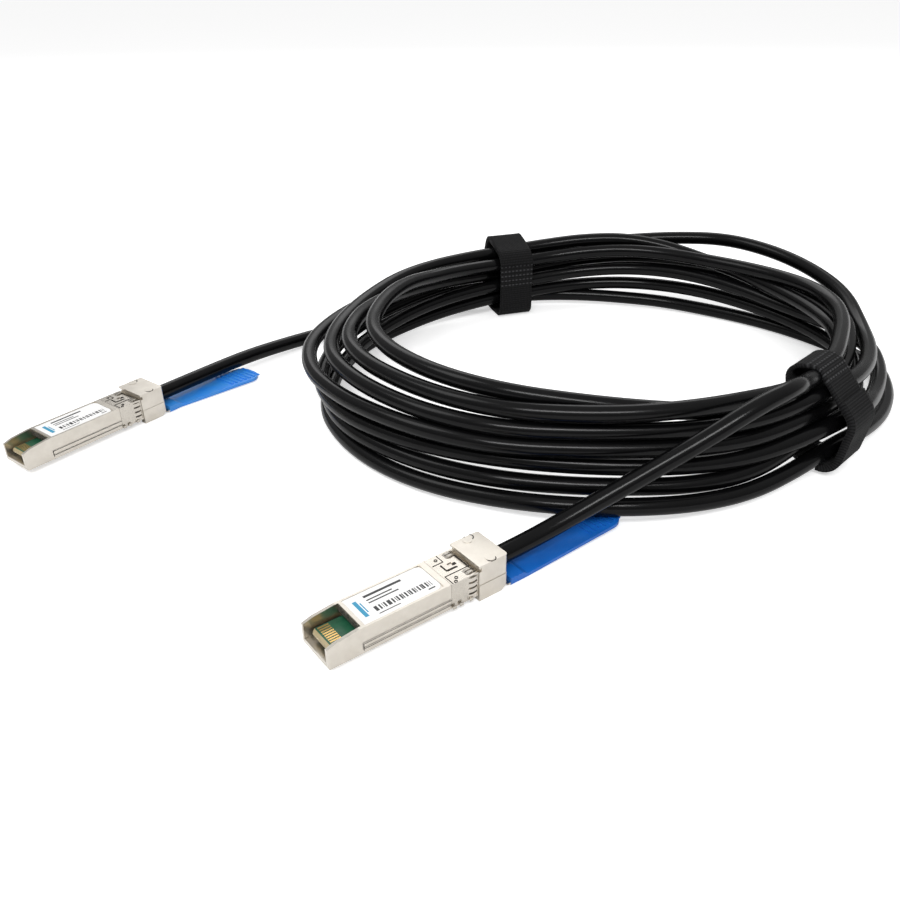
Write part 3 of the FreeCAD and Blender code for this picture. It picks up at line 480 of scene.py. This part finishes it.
@dataclass(frozen=True)
class EdgedFinish:
    """Green laminate whose cut edges and bare front rim show the tan core."""

    name: str
    plug: Plug
    rim: float = 2.75
    steepness: float = 0.7
    mask: tuple = (0.012, 0.075, 0.038)
    mask_light: tuple = (0.018, 0.110, 0.055)
    core: tuple = (0.42, 0.34, 0.19)

    def build(self) -> bpy.types.Material:
        """Build the material.

        Returns:
            The material.
        """
        graph = Graph(self.name)
        shader = graph.principled(self.mask, 0.34)
        split = graph.add("ShaderNodeSeparateXYZ")
        graph.link(graph.coordinates.outputs["Normal"], split.inputs["Vector"])
        along, _ = graph.plug_place(self.plug)
        side = graph.maths("LESS_THAN", graph.maths("ABSOLUTE", split.outputs["Z"]), self.steepness)
        edge = graph.maths("MAXIMUM", side, graph.maths("LESS_THAN", along, self.rim))
        green = graph.ramp(graph.noise(420.0, 4.0), [(0.3, self.mask), (0.7, self.mask_light)])
        graph.link(graph.blend(edge, green, self.core), shader.inputs["Base Color"])
        graph.link(graph.bump(graph.noise(2500.0), 0.04, 0.0001), shader.inputs["Normal"])
        return graph.material


@dataclass
class PlugTrim:
    """Fine parts of one plug, in its own millimetres: linings, parting lines, plate edge, marks and feet."""

    workshop: Workshop
    plug: Plug
    side: float = 6.95
    collar_side: float = 7.15
    head_side: float = 7.1
    plate_start: float = 10.8
    collar_start: float = 39.4
    collar_top: float = 10.6
    head_top: float = 12.2
    line: float = 0.14
    line_depths: tuple = (0.05, 0.03)
    cheek: float = 5.9
    cheek_shade_depth: float = 0.12
    cheek_outline: tuple = ((0.9, 3.0), (10.6, 3.0), (10.6, 9.3), (4.0, 7.7), (1.3, 5.6))
    cover_start: float = 10.6
    cover_lines: tuple = (5.2, 3.55)
    cover_end_line: tuple = (3.0, 5.3)
    panel_lines: tuple = (
        (40.0, 48.6, -2.9, -2.76), (40.0, 40.14, -6.7, -2.8), (40.0, 43.6, 2.9, 3.04), (43.6, 43.74, 2.9, 6.4),
    )
    # Dark fills of painted shade inside the collar's slots.
    panel_slots: tuple = (
        (41.85, 42.25, -1.1, 2.0), (42.2, 45.7, -1.3, -0.95), (45.35, 46.25, 0.05, 0.95), (47.9, 48.3, -6.0, 5.2),
    )
    panel_depths: tuple = (0.1, 0.03)
    slot_depths: tuple = (0.3, 0.02)
    edge_half_width: float = 5.7
    edge_heights: tuple = (8.0, 10.02)
    head_rings: tuple = ((54.2, -5.7), (55.4, 6.1))
    head_ring_size: tuple = (1.55, 0.36)
    dimples: tuple = ((42.3, 4.7), (42.4, -4.9), (41.3, -6.2))
    dimple_size: tuple = (0.55, 0.2)
    mark_rise: float = 0.02
    mark_depth: float = 0.06
    feet_starts: tuple = (39.5, 41.9, 45.4)
    foot_length: float = 1.3
    foot_heights: tuple = (1.9, 3.1)

    def bar(self, mesh: bmesh.types.BMesh, low: tuple, high: tuple, bevel: float = 0.0) -> None:
        """Add a box between two corners.

        Args:
            mesh: The mesh that takes it.
            low: Its low corner.
            high: Its high corner.
            bevel: Radius of its softened edges, or 0 for sharp ones.
        """
        size = Vector(high) - Vector(low)
        middle = (Vector(high) + Vector(low)) / 2
        box = Matrix.Translation(middle) @ Matrix.Diagonal((*size, 1.0))
        made = bmesh.ops.create_cube(mesh, size=1.0, matrix=box)
        if bevel:
            edges = list(dict.fromkeys(edge for vertex in made["verts"] for edge in vertex.link_edges))
            bmesh.ops.bevel(
                mesh, geom=edges, offset=bevel, offset_type="OFFSET", affect="EDGES", segments=2, profile=0.5,
                material=-1,
            )

    def ring(self, mesh: bmesh.types.BMesh, place: tuple, radius: float, wide: float, limit: float) -> None:
        """Add a thin flat ring, cut off where the surface under it ends.

        Args:
            mesh: The mesh that takes it, which holds rings alone.
            place: Its centre.
            radius: Its outer radius.
            wide: Width of its line.
            limit: How far the surface reaches on each side of the plug's middle.
        """
        loops = []
        for reach in (radius, radius - wide):
            made = bmesh.ops.create_circle(
                mesh, cap_ends=False, radius=reach, segments=40, matrix=Matrix.Translation(place)
            )
            loops += list(dict.fromkeys(edge for vertex in made["verts"] for edge in vertex.link_edges))
        bmesh.ops.bridge_loops(mesh, edges=loops)
        for sign in (1.0, -1.0):
            bmesh.ops.bisect_plane(
                mesh, geom=[*mesh.verts, *mesh.edges, *mesh.faces], plane_co=(0.0, sign * limit, 0.0),
                plane_no=(0.0, sign, 0.0), clear_outer=True,
            )

    def finish(self, name: str, mesh: bmesh.types.BMesh, finish: Finish, slot: str, smooth: bool = False) -> None:
        """Place a mesh on the plug as a piece that rides with the cable.

        Args:
            name: Name of the piece, without the plug's prefix.
            mesh: Its mesh, which is freed.
            finish: Its finish.
            slot: Not used.
            smooth: Whether its faces are shaded smooth.
        """
        bmesh.ops.transform(mesh, matrix=self.plug.placement, verts=mesh.verts)
        piece = self.workshop.piece(f"{self.plug.prefix}_{name}", mesh, self.workshop.material(finish))
        for polygon in piece.data.polygons:
            polygon.use_smooth = smooth
        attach(piece, "cable")

    def parting_line_shades(self) -> None:
        """Add the dark parting lines along both sides and round the collar's panels, painted shade in the gaps and
        slots.
        """
        mesh = bmesh.new()
        start = self.cover_start
        for sign in (1.0, -1.0):
            depth, rise = self.line_depths
            low, high = sorted((sign * (self.side - depth), sign * (self.side + rise)))
            for height in self.cover_lines:
                self.bar(mesh, (start, low, height), (self.collar_start, high, height + self.line))
            bottom, top = self.cover_end_line
            self.bar(mesh, (start, low, bottom), (start + self.line, high, top))
        for areas, (depth, rise) in ((self.panel_lines, self.panel_depths), (self.panel_slots, self.slot_depths)):
            for low_x, high_x, low_y, high_y in areas:
                low = (low_x, low_y, self.collar_top - depth)
                self.bar(mesh, low, (high_x, high_y, self.collar_top + rise))
        self.finish("parting_line_shades", mesh, Finish.GAP, "die_cast_metal")

    def plate_edge(self) -> None:
        """Add the rough dark face under the front edge of the top plate, painted shade under that edge."""
        mesh = bmesh.new()
        bottom, top = self.edge_heights
        low = (self.plate_start - 0.22, -self.edge_half_width, bottom)
        self.bar(mesh, low, (self.plate_start + 0.02, self.edge_half_width, top), 0.06)
        self.finish("plate_edge", mesh, Finish.ROUGH_EDGE, "die_cast_metal")

    def marks(self, name: str, places: tuple, top: float, size: tuple, slot: str) -> None:
        """Add small dark rings on a flat top, painted shade for the walls of small round recesses.

        Args:
            name: Name of the piece.
            places: Centres of the rings, along and across the plug.
            top: Height of the surface.
            size: Outer radius of a ring and the width of its line.
            slot: Material slot of the piece that carries them.
        """
        mesh = bmesh.new()
        for along, across in places:
            self.ring(mesh, (along, across, top + self.mark_rise), *size, self.head_side)
        grow(mesh, list(mesh.faces), (0.0, 0.0, -self.mark_depth))
        # Painted shade: the rings take the dark gap fill.
        self.finish(name, mesh, Finish.GAP, slot)

    def feet(self) -> None:
        """Add the small folded feet at the lower edge of the collar's sides."""
        mesh = bmesh.new()
        for sign in (1.0, -1.0):
            low, high = sorted((sign * (self.collar_side - 0.05), sign * (self.collar_side + 0.22)))
            bottom, top = self.foot_heights
            for start in self.feet_starts:
                self.bar(mesh, (start, low, bottom), (start + self.foot_length, high, top), 0.1)
        self.finish("collar_feet", mesh, Finish.SPRING_SHEET, "collar_metal", True)

    def mouth(self) -> None:
        """Line the inner sides of the open nose with dark, rough sheets of painted shade."""
        mesh = bmesh.new()
        for sign in (1.0, -1.0):
            outline = [mesh.verts.new((along, sign * self.cheek, height)) for along, height in self.cheek_outline]
            grow(mesh, [mesh.faces.new(outline)], (0.0, -sign * self.cheek_shade_depth, 0.0))
        self.finish("mouth_shade_lining", mesh, Finish.DARK_SKIN, "die_cast_metal")

    def build(self) -> None:
        """Build every fine part of this plug."""
        self.mouth()
        self.parting_line_shades()
        self.plate_edge()
        self.marks("ring_mark_shades", self.head_rings, self.head_top, self.head_ring_size, "die_cast_metal")
        self.marks("collar_dimples", self.dimples, self.collar_top, self.dimple_size, "collar_metal")
        self.feet()


@dataclass(frozen=True)
class WovenFinish:
    """Black hook-and-loop tape: ribs across it, soft loops between them and pale stitched rows near its end, with
    painted shade in its weave.
    """

    name: str
    stitch_start: float
    stitch_pitch: float = 2.3
    stitch_rows: float = 2.5
    stitch_length: float = 1.9
    stitch_level: float = 0.82
    rib_pitch: float = 1.05
    yarn_pitch: float = 0.8
    dark: tuple = (0.0022, 0.0022, 0.0024)
    # Crest tone of the weave: painted light on the crests against dark in the hollows.
    pale: tuple = (0.016, 0.016, 0.017)
    thread: tuple = (0.060, 0.060, 0.063)

    def build(self) -> bpy.types.Material:
        """Build the material.

        Returns:
            The material.
        """
        graph = Graph(self.name)
        shader = graph.principled(self.dark, 0.8, 0.0, Specular_IOR_Level=0.16, Sheen_Weight=0.03, Sheen_Roughness=0.5)
        along = graph.add("ShaderNodeAttribute", attribute_name="along").outputs["Fac"]
        across = graph.add("ShaderNodeAttribute", attribute_name="across").outputs["Fac"]
        rib = graph.wave(along, self.rib_pitch)
        yarn = graph.wave(across, self.yarn_pitch)
        weave = graph.maths("MULTIPLY", graph.maths("MULTIPLY", rib, yarn), 0.7)
        height = graph.maths("ADD", weave, graph.maths("MULTIPLY", graph.noise(2600.0), 0.6))
        past_start = graph.maths("SUBTRACT", along, self.stitch_start)
        rows = graph.maths("GREATER_THAN", graph.wave(past_start, self.stitch_pitch), self.stitch_level)
        reach = self.stitch_pitch * self.stitch_rows
        near = graph.maths("LESS_THAN", graph.maths("ABSOLUTE", past_start), reach)
        stitch = graph.maths("MULTIPLY", graph.maths("MULTIPLY", rows, graph.wave(across, self.stitch_length)), near)
        # Painted shade: the weave's tone follows its height, dark in the hollows and pale on the crests, with random
        # tone from the noise.
        shaded_weave_tone = graph.ramp(height, [(0.25, self.dark), (0.95, self.pale)])
        graph.link(graph.blend(stitch, shaded_weave_tone, self.thread), shader.inputs["Base Color"])
        graph.link(graph.bump(graph.maths("ADD", height, stitch), 0.8, 0.00025), shader.inputs["Normal"])
        return graph.material


@dataclass
class TieStrap:
    """A hook-and-loop strap closed round the bundle, with its free end lapped over itself, in millimetres."""

    workshop: Workshop
    name: str
    place: tuple
    turn: float
    corners: tuple
    lap: tuple
    finish: WovenFinish
    radius: float = 6.6
    longest_bend: float = 5.3
    width: float = 16.0
    thickness: float = 1.5
    lap_rise: float = 1.1
    step: float = 0.5
    cuts_across: int = 19
    rib_rise: float = 0.06
    selvedge: float = 1.0
    selvedge_rise: float = 0.10
    waver: float = 0.12
    coil: CoilFrame = CoilFrame()

    def outline(self, mesh: bmesh.types.BMesh) -> list:
        """Draw the strap's outer section as one face with rounded corners and short, even edges.

        Args:
            mesh: The mesh to draw in.

        Returns:
            The vertices in order round the section.
        """
        corners = [mesh.verts.new((x, -self.width / 2, z)) for x, z in self.corners]
        mesh.faces.new(corners)
        count = len(corners)
        bends = []
        for index, corner in enumerate(corners):
            before = (corners[index - 1].co - corner.co).normalized()
            after = (corners[(index + 1) % count].co - corner.co).normalized()
            bends.append(before.angle(after))
        for corner, angle in zip(corners, bends):
            reach = self.radius / math.tan(angle / 2)
            cuts = max(3, round(self.radius * (math.pi - angle) / self.step))
            bmesh.ops.bevel(
                mesh, geom=[corner], offset=min(reach, self.longest_bend), offset_type="OFFSET", affect="VERTICES",
                segments=cuts, profile=0.5, material=-1,
            )
        for edge in list(mesh.edges):
            cuts = int(edge.calc_length() / self.step)
            if cuts > 1:
                bmesh.ops.subdivide_edges(mesh, edges=[edge], cuts=cuts)
        mesh.faces.ensure_lookup_table()
        return [loop.vert for loop in mesh.faces[0].loops]

    def band(self) -> bmesh.types.BMesh:
        """Make the closed band: its section, its wall and its width, with places kept along and across it.

        Returns:
            The band's mesh in the strap's own millimetres.
        """
        mesh = bmesh.new()
        along = mesh.verts.layers.float.new("along")
        across = mesh.verts.layers.float.new("across")
        outer = mesh.verts.layers.float.new("outer")
        ring = self.outline(mesh)
        run = 0.0
        for index, vertex in enumerate(ring):
            vertex[along] = run
            vertex[outer] = 1.0
            run += (ring[(index + 1) % len(ring)].co - vertex.co).length
        inset = bmesh.ops.inset_region(
            mesh, faces=list(mesh.faces), thickness=self.thickness, use_even_offset=True, use_boundary=True
        )
        hole = [face for face in mesh.faces if face not in inset["faces"]]
        for vertex in hole[0].verts:
            near = min((edge.other_vert(vertex) for edge in vertex.link_edges), key=lambda other: -other[outer])
            vertex[along] = near[along] if near[outer] > 0.5 else vertex[along]
        for vertex in mesh.verts:
            vertex[outer] = 0.0 if vertex in hole[0].verts else 1.0
        bmesh.ops.delete(mesh, geom=hole, context="FACES_ONLY")
        grow(mesh, list(mesh.faces), (0.0, self.width, 0.0))
        long_edges = [edge for edge in mesh.edges if abs(edge.verts[0].co.y - edge.verts[1].co.y) > self.width / 2]
        bmesh.ops.subdivide_edges(mesh, edges=long_edges, cuts=self.cuts_across, use_grid_fill=True)
        bmesh.ops.recalc_face_normals(mesh, faces=mesh.faces)
        for vertex in mesh.verts:
            vertex[across] = vertex.co.y
        self.lay_end(mesh, along, outer)
        self.weave(mesh, along, across, outer)
        return mesh

    def lay_end(
        self, mesh: bmesh.types.BMesh, along: bmesh.types.BMLayerItem, outer: bmesh.types.BMLayerItem
    ) -> None:
        """Raise the lapped end of the tape off the turn under it.

        Args:
            mesh: The band.
            along: Layer with the place along the tape.
            outer: Layer that is 1 on the outer side and 0 on the inner one.
        """
        start, end = self.lap
        faces = [
            face for face in mesh.faces
            if all(vertex[outer] > 0.5 and start <= vertex[along] <= end for vertex in face.verts)
            and abs(face.normal.y) < 0.5
        ]
        lifted = grow(mesh, faces)
        bmesh.ops.delete(mesh, geom=faces, context="FACES")
        mesh.normal_update()
        ways = {vertex: Vector((vertex.normal.x, 0.0, vertex.normal.z)).normalized() for vertex in lifted}
        for vertex, way in ways.items():
            vertex.co += way * self.lap_rise

    def weave(
        self, mesh: bmesh.types.BMesh, along: bmesh.types.BMLayerItem, across: bmesh.types.BMLayerItem,
        outer: bmesh.types.BMLayerItem,
    ) -> None:
        """Press the ribs into the outer side and let the long edges swell and waver a little.

        Args:
            mesh: The band.
            along: Layer with the place along the tape.
            across: Layer with the place across it.
            outer: Layer that is 1 on the outer side and 0 on the inner one.
        """
        mesh.normal_update()
        moves = []
        for vertex in mesh.verts:
            if vertex[outer] < 0.5:
                continue
            rib = math.cos(2 * math.pi * vertex[along] / self.finish.rib_pitch)
            yarn = math.cos(math.pi * vertex[across] / self.finish.yarn_pitch)
            edge = max(0.0, abs(vertex[across]) - self.width / 2 + self.selvedge)
            rise = self.rib_rise * rib * (0.6 + 0.4 * yarn) + self.selvedge_rise * edge
            moves.append((vertex, vertex.normal * rise))
            vertex.co.y += self.waver * math.sin(vertex[along] * 0.37 + vertex[across] * 0.25)
        for vertex, move in moves:
            vertex.co += move

    def build(self) -> bpy.types.Object:
        """Make the strap where it ties the coil.

        Returns:
            The strap's object.
        """
        mesh = self.band()
        local = Matrix.Translation((*self.place, 0.0)) @ Matrix.Rotation(math.radians(self.turn), 4, "Z")
        bmesh.ops.transform(mesh, matrix=self.coil.placement @ local, verts=mesh.verts)
        strap = self.workshop.piece(self.name, mesh, self.finish.build())
        for polygon in strap.data.polygons:
            polygon.use_smooth = True
        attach(strap, "cable")
        return strap


@dataclass(frozen=True)
class Station:
    """Cross-section of the coil at one bearing, with the lane of each pass in order."""

    bearing: float
    lanes: tuple


@dataclass
class CoiledCord:
    """The cord: near lead, seven and a half loose turns of the coil, and far lead."""

    workshop: Workshop
    diameter: float = 6.05
    length: float = 5.0
    coil: CoilFrame = CoilFrame()
    laps: int = 8
    tie_bearing: float = 110.9
    lowest: float = 3.1
    points_per_turn: int = 30
    stations: tuple = (
        Station(-44.7, ((88.9, 34), (87.6, 22.6), (85.9, 28.7), (93.9, 28.9), (93.8, 22.6), (99.6, 19.4),
                (92.4, 15.6), (98.4, 8.8))),
        Station(-20.0, ((88, 33), (91.2, 21.3), (89, 27), (99.5, 24), (96, 17), (104.5, 13), (97.5, 10),
                (108.5, 4))),
        Station(3.0, ((95.5, 32), (100.8, 25.6), (93.5, 25), (107.5, 22.5), (100.5, 17.5), (113.5, 13.8),
                (104.5, 9), (119, 3.4))),
        Station(12.0, ((98, 31.6), (103, 25.6), (94, 25), (112, 26.5), (104, 19.6), (109.5, 15), (106, 8.8),
                (115, 3.2))),
        Station(22.0, ((98, 30.8), (104.5, 25), (94.5, 24.6), (115, 30), (108, 19), (102.5, 15.6), (106, 8.8),
                (110, 3.2))),
        Station(48.0, ((94.5, 29.4), (107.2, 24.2), (100.8, 26), (117, 34.5), (112.5, 17.2), (94.5, 20.5),
                (98, 12.4), (100, 3.2))),
        Station(62.0, ((93, 30), (103.5, 24.8), (99.5, 31), (110.5, 33.4), (110, 17.8), (93.6, 21.2),
                (98.5, 12), (97.5, 3.8))),
        Station(78.0, ((91.5, 30), (100.5, 24.3), (96.8, 34.2), (103.6, 31), (107, 19), (93.6, 19.8),
                (97.6, 11.2), (94.5, 4.6))),
        Station(110.9, ((90.4, 25.6), (94.6, 19.6), (96.8, 29.6), (101.8, 24.4), (101.6, 16.6), (90.2, 15.4),
                (91.8, 8.8), (98.5, 5.2))),
        Station(145.0, ((86.5, 31), (95.5, 23.8), (103, 28.5), (107.5, 21.5), (106.5, 13.5), (97, 12.5),
                (102, 4.2))),
        Station(163.0, ((86.5, 36), (95, 29), (103.5, 28.5), (112, 22), (110.5, 13.5), (104.5, 9.4),
                (109.5, 3.2))),
        Station(180.0, ((90.5, 37.8), (99.5, 33), (108.5, 28.5), (119.8, 22.4), (114.5, 14), (110, 8.6),
                (113, 3.2))),
        Station(190.0, ((94.6, 38.1), (104.8, 33.3), (112.4, 28.8), (122.2, 22.3), (116.5, 14.6), (113.6, 8.8),
                (115.6, 3.2))),
        Station(200.0, ((98, 38.3), (107, 33.5), (113.4, 29.2), (119.3, 22.2), (118, 15), (116.4, 9.1),
                (116.1, 3.2))),
        Station(222.0, ((98.5, 38.8), (103.8, 34.2), (108.8, 29.2), (112.6, 24.2), (109.8, 16), (109.8, 9.2),
                (112.4, 3.2))),
        Station(240.0, ((96.5, 38.6), (101.5, 34.6), (104.4, 29.2), (106.2, 23.8), (101.8, 16.6),
                (104.5, 10.2), (108, 4.9))),
        Station(262.0, ((88, 34.4), (95, 35), (92.7, 27.6), (94.5, 22.2), (93.5, 15.2), (95.4, 8.6), (105.2, 7))),
        Station(291.0, ((86, 28.5), (90, 34.6), (91.5, 27), (93.2, 21.4), (93.8, 14.8), (95, 9.2), (98.6, 4.6))),
    )
    near_route: tuple = (
        (-3.7, 0.0, 6.0), (16.3, 0.0, 6.0), (36.5, -3.4, 11.3), (55.5, -10.6, 20.5), (73.0, -18.9, 31.0),
        (90.5, -25.0, 40.5), (106.5, -26.2, 41.8), (121.8, -19.6, 35.6),
    )
    far_route: tuple = (
        (-42.57, 164.38, 6.0), (-25.25, 169.29, 6.0), (-6.15, 175.14, 5.7), (12.98, 180.8, 5.3),
        (32.0, 184.6, 4.4), (54.0, 187.2, 3.4), (77.0, 187.4, 3.3), (98.0, 185.4, 3.5), (117.0, 181.8, 3.5),
        (131.0, 177.9, 3.7),
    )

    def track(self) -> list:
        """Put the crossings of the whole winding in order.

        Returns:
            Each crossing's bearing, reach and height.
        """
        crossings = []
        for lap in range(self.laps):
            for station in self.stations:
                if lap < len(station.lanes):
                    reach, height = station.lanes[lap]
                    crossings.append((station.bearing + FULL_TURN * lap, reach, height))
        last = self.tie_bearing + FULL_TURN * (self.laps - 1)
        return [crossing for crossing in crossings if crossing[0] <= last + 0.01]

    def at(self, crossings: list, bearing: float) -> tuple:
        """Find the cord at a bearing by a cubic through the neighbouring crossings.

        Args:
            crossings: The crossings of the winding, in order.
            bearing: The bearing, with a full turn more for each lap.

        Returns:
            Reach and height.
        """
        index = max(i for i in range(len(crossings) - 1) if crossings[i][0] <= bearing + 1e-6)
        before = crossings[max(index - 1, 0)]
        start, end = crossings[index], crossings[index + 1]
        after = crossings[min(index + 2, len(crossings) - 1)]
        span = end[0] - start[0]
        share = (bearing - start[0]) / span
        values = []
        for axis in (1, 2):
            slope_start = (end[axis] - before[axis]) / (end[0] - before[0]) * span
            slope_end = (after[axis] - start[axis]) / (after[0] - start[0]) * span
            square, cube = share ** 2, share ** 3
            values.append(
                (2 * cube - 3 * square + 1) * start[axis]
                + (cube - 2 * square + share) * slope_start
                + (3 * square - 2 * cube) * end[axis]
                + (cube - square) * slope_end
            )
        return tuple(values)

    def winding(self) -> list:
        """Place the control points of the coil's turns.

        The spline runs a little inside its points, so they are swollen outwards by as much.

        Returns:
            The points, in millimetres of the part's frame.
        """
        crossings = self.track()
        first, last = crossings[0][0], crossings[-1][0]
        steps = round((last - first) / FULL_TURN * self.points_per_turn)
        step = (last - first) / steps
        swell = 1.0 / (0.75 + 0.25 * math.cos(math.radians(step)))
        points = []
        for index in range(steps + 1):
            bearing = first + step * index
            reach, height = self.at(crossings, bearing)
            angle = math.radians(bearing)
            across = reach * swell
            point = Vector((across * math.cos(angle), across * math.sin(angle), max(height, self.lowest)))
            points.append(tuple(self.coil.placement @ point / MM))
        return points

    def build(self, straps: list) -> bpy.types.Object:
        """Args:
            straps: Not used.

        Returns:
            The cord's object.
        """
        route = [*self.near_route, *self.winding(), *reversed(self.far_route)]
        curve = bpy.data.curves.new("cord", "CURVE")
        curve.dimensions = "3D"
        spline = curve.splines.new("NURBS")
        spline.points.add(len(route) - 1)
        for point, (x, y, z) in zip(spline.points, route):
            point.co = (x * MM, y * MM, z * MM, 1.0)
        spline.order_u = 3
        spline.use_endpoint_u = True
        spline.resolution_u = 8
        curve.bevel_depth = self.diameter * MM / 2
        curve.bevel_resolution = 5
        curve.use_fill_caps = True
        cord = stand("cord", curve)
        curve.materials.append(self.workshop.material(Finish.JACKET))
        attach(cord, "cable")
        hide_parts("near_lead", "far_lead", "coil")
        tuple(Plug.NEAR.point(59.4, 0.0, 6.0))
        return cord


@dataclass(frozen=True)
class Lamp:
    """A rectangular area lamp: its place and aim in metres, its sides in metres and its power in watts."""

    name: str
    place: tuple
    aim: tuple
    size: tuple
    power: float

    def build(self) -> None:
        """Add the lamp to the scene."""
        light = bpy.data.lights.new(self.name, "AREA")
        light.shape = "RECTANGLE"
        light.size, light.size_y = self.size
        light.energy = self.power
        lamp = stand(self.name, light)
        lamp.location = self.place
        lamp.rotation_euler = (Vector(self.aim) - Vector(self.place)).to_track_quat("-Z", "Y").to_euler()


@dataclass
class Stage:
    """Pale floor, soft studio light and the camera."""

    camera_place: tuple = (-0.12705, -0.15763, 0.16244)
    pitch: float = 59.8735
    heading: float = -36.666
    roll: float = -0.6416
    lens: float = 34.8925
    floor_size: float = 6.0
    floor_drop: float = 0.0002
    floor_glow: float = 0.5
    sky_levels: tuple = ((0.0, 0.22), (0.35, 0.36), (1.0, 0.62))
    lamps: tuple = (
        Lamp("back_panel", (0.64, 0.87, 0.69), (0.05, 0.08, 0.0), (1.1, 0.5), 2.7),
        Lamp("front_panel", (-0.37, -0.49, 0.78), (0.05, 0.08, 0.0), (0.7, 0.18), 6.0),
        Lamp("top_panel", (-0.5, 0.45, 0.9), (0.05, 0.05, 0.0), (0.5, 0.5), 2.4),
    )

    def floor(self) -> None:
        """Add the pale floor."""
        mesh = bmesh.new()
        bmesh.ops.create_grid(mesh, x_segments=1, y_segments=1, size=self.floor_size)
        bmesh.ops.translate(mesh, verts=mesh.verts, vec=(0.0, 0.0, -self.floor_drop))
        data = bpy.data.meshes.new("floor")
        mesh.to_mesh(data)
        mesh.free()
        floor = stand("floor", data)
        graph = Graph("floor_paper")
        shader = graph.principled((0.9, 0.9, 0.9), 0.9, Specular_IOR_Level=0.1)
        glow = graph.add("ShaderNodeEmission")
        glow.inputs["Color"].default_value = (1.0, 1.0, 1.0, 1.0)
        path = graph.add("ShaderNodeLightPath")
        both = graph.add("ShaderNodeAddShader")
        graph.link(graph.maths("MULTIPLY", path.outputs["Is Camera Ray"], self.floor_glow), glow.inputs["Strength"])
        graph.link(shader.outputs["BSDF"], both.inputs[0])
        graph.link(glow.outputs["Emission"], both.inputs[1])
        graph.link(both.outputs["Shader"], graph.output.inputs["Surface"])
        floor.data.materials.append(graph.material)

    def world(self) -> None:
        """Light the scene evenly from a pale sky."""
        world = bpy.data.worlds.new("studio")
        bpy.context.scene.world = world
        world.use_nodes = True
        nodes = world.node_tree.nodes
        links = world.node_tree.links
        nodes.clear()
        output = nodes.new("ShaderNodeOutputWorld")
        mix = nodes.new("ShaderNodeMixShader")
        path = nodes.new("ShaderNodeLightPath")
        seen = nodes.new("ShaderNodeBackground")
        seen.inputs["Color"].default_value = (1.0, 1.0, 1.0, 1.0)
        seen.inputs["Strength"].default_value = 1.0
        sky = nodes.new("ShaderNodeBackground")
        sky.inputs["Strength"].default_value = 1.0
        coordinates = nodes.new("ShaderNodeTexCoord")
        split = nodes.new("ShaderNodeSeparateXYZ")
        ramp = nodes.new("ShaderNodeValToRGB")
        elements = ramp.color_ramp.elements
        for index, (place, level) in enumerate(self.sky_levels):
            element = elements[index] if index < 2 else elements.new(place)
            element.position = place
            element.color = (level, level, level, 1.0)
        links.new(coordinates.outputs["Generated"], split.inputs["Vector"])
        links.new(split.outputs["Z"], ramp.inputs["Fac"])
        links.new(ramp.outputs["Color"], sky.inputs["Color"])
        links.new(path.outputs["Is Camera Ray"], mix.inputs["Fac"])
        links.new(sky.outputs["Background"], mix.inputs[1])
        links.new(seen.outputs["Background"], mix.inputs[2])
        links.new(mix.outputs["Shader"], output.inputs["Surface"])

    def camera(self) -> None:
        """Add the camera."""
        data = bpy.data.cameras.new("camera")
        data.lens = self.lens
        data.sensor_width = 36.0
        data.clip_start = 0.01
        camera = stand("camera", data)
        base = Euler((math.radians(self.pitch), 0.0, math.radians(self.heading)), "XYZ").to_matrix().to_4x4()
        turn = Matrix.Rotation(math.radians(self.roll), 4, "Z")
        camera.matrix_world = Matrix.Translation(self.camera_place) @ base @ turn
        bpy.context.scene.camera = camera

    def build(self) -> None:
        """Build the whole stage."""
        self.floor()
        self.world()
        for lamp in self.lamps:
            lamp.build()
        self.camera()
        bpy.context.scene.view_settings.view_transform = "Standard"


def dress_nodes(workshop: Workshop) -> None:
    """Give every carried-over node its finish.

    Args:
        workshop: Where the materials are made.
    """
    nodes = frame["nodes"]
    for plug in Plug:
        prefix = plug.prefix
        for node, finish in NODE_FINISHES.items():
            workshop.dress(nodes[f"{prefix}_{node}"], workshop.material(finish))
        workshop.dress(nodes[f"{prefix}_label"], LabelFinish(f"{prefix}_label_film", plug).build())
        workshop.dress(nodes[f"{prefix}_card"], EdgedFinish(f"{prefix}_card_laminate", plug).build())
    workshop.dress(nodes["near_pull_tab"], workshop.material(Finish.NEAR_TAB))
    workshop.dress(nodes["far_pull_tab"], workshop.material(Finish.FAR_TAB))


def tie_straps(workshop: Workshop) -> list:
    """Build both straps and put them in the place of their plain solids.

    Args:
        workshop: Where the materials are made.

    Returns:
        The two strap objects.
    """
    rear = TieStrap(
        workshop, "rear_tie", (-34.0, 89.2), 107.0,
        ((-11.6, 0.0), (11.6, 0.0), (13.5, 26.0), (10.0, 36.5), (-11.4, 30.5)), (52.0, 84.0),
        WovenFinish("rear_tie_weave", 89.0),
    ).build()
    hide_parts("rear_strap")
    front = TieStrap(
        workshop, "front_tie", (67.3, -66.5), -45.0,
        ((-8.0, 2.5), (9.0, 2.5), (12.0, 22.0), (-3.5, 39.5), (-15.0, 37.0)), (14.0, 47.0),
        WovenFinish("front_tie_weave", 60.0),
    ).build()
    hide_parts("front_strap")
    return [rear, front]


def main() -> None:
    """Build the scene in order and report each piece."""
    logging.basicConfig(level=logging.INFO, format="%(message)s")
    workshop = Workshop()
    dress_nodes(workshop)
    LOG.info("dressed the carried-over nodes")
    straps = tie_straps(workshop)
    LOG.info("built %s", ", ".join(strap.name for strap in straps))
    cord = CoiledCord(workshop).build(straps)
    LOG.info("built %s", cord.name)
    for plug in Plug:
        PlugTrim(workshop, plug).build()
        LOG.info("trimmed the %s plug", plug.prefix)
    Stage().build()
    LOG.info("built the stage")


if __name__ == "__main__":
    main()
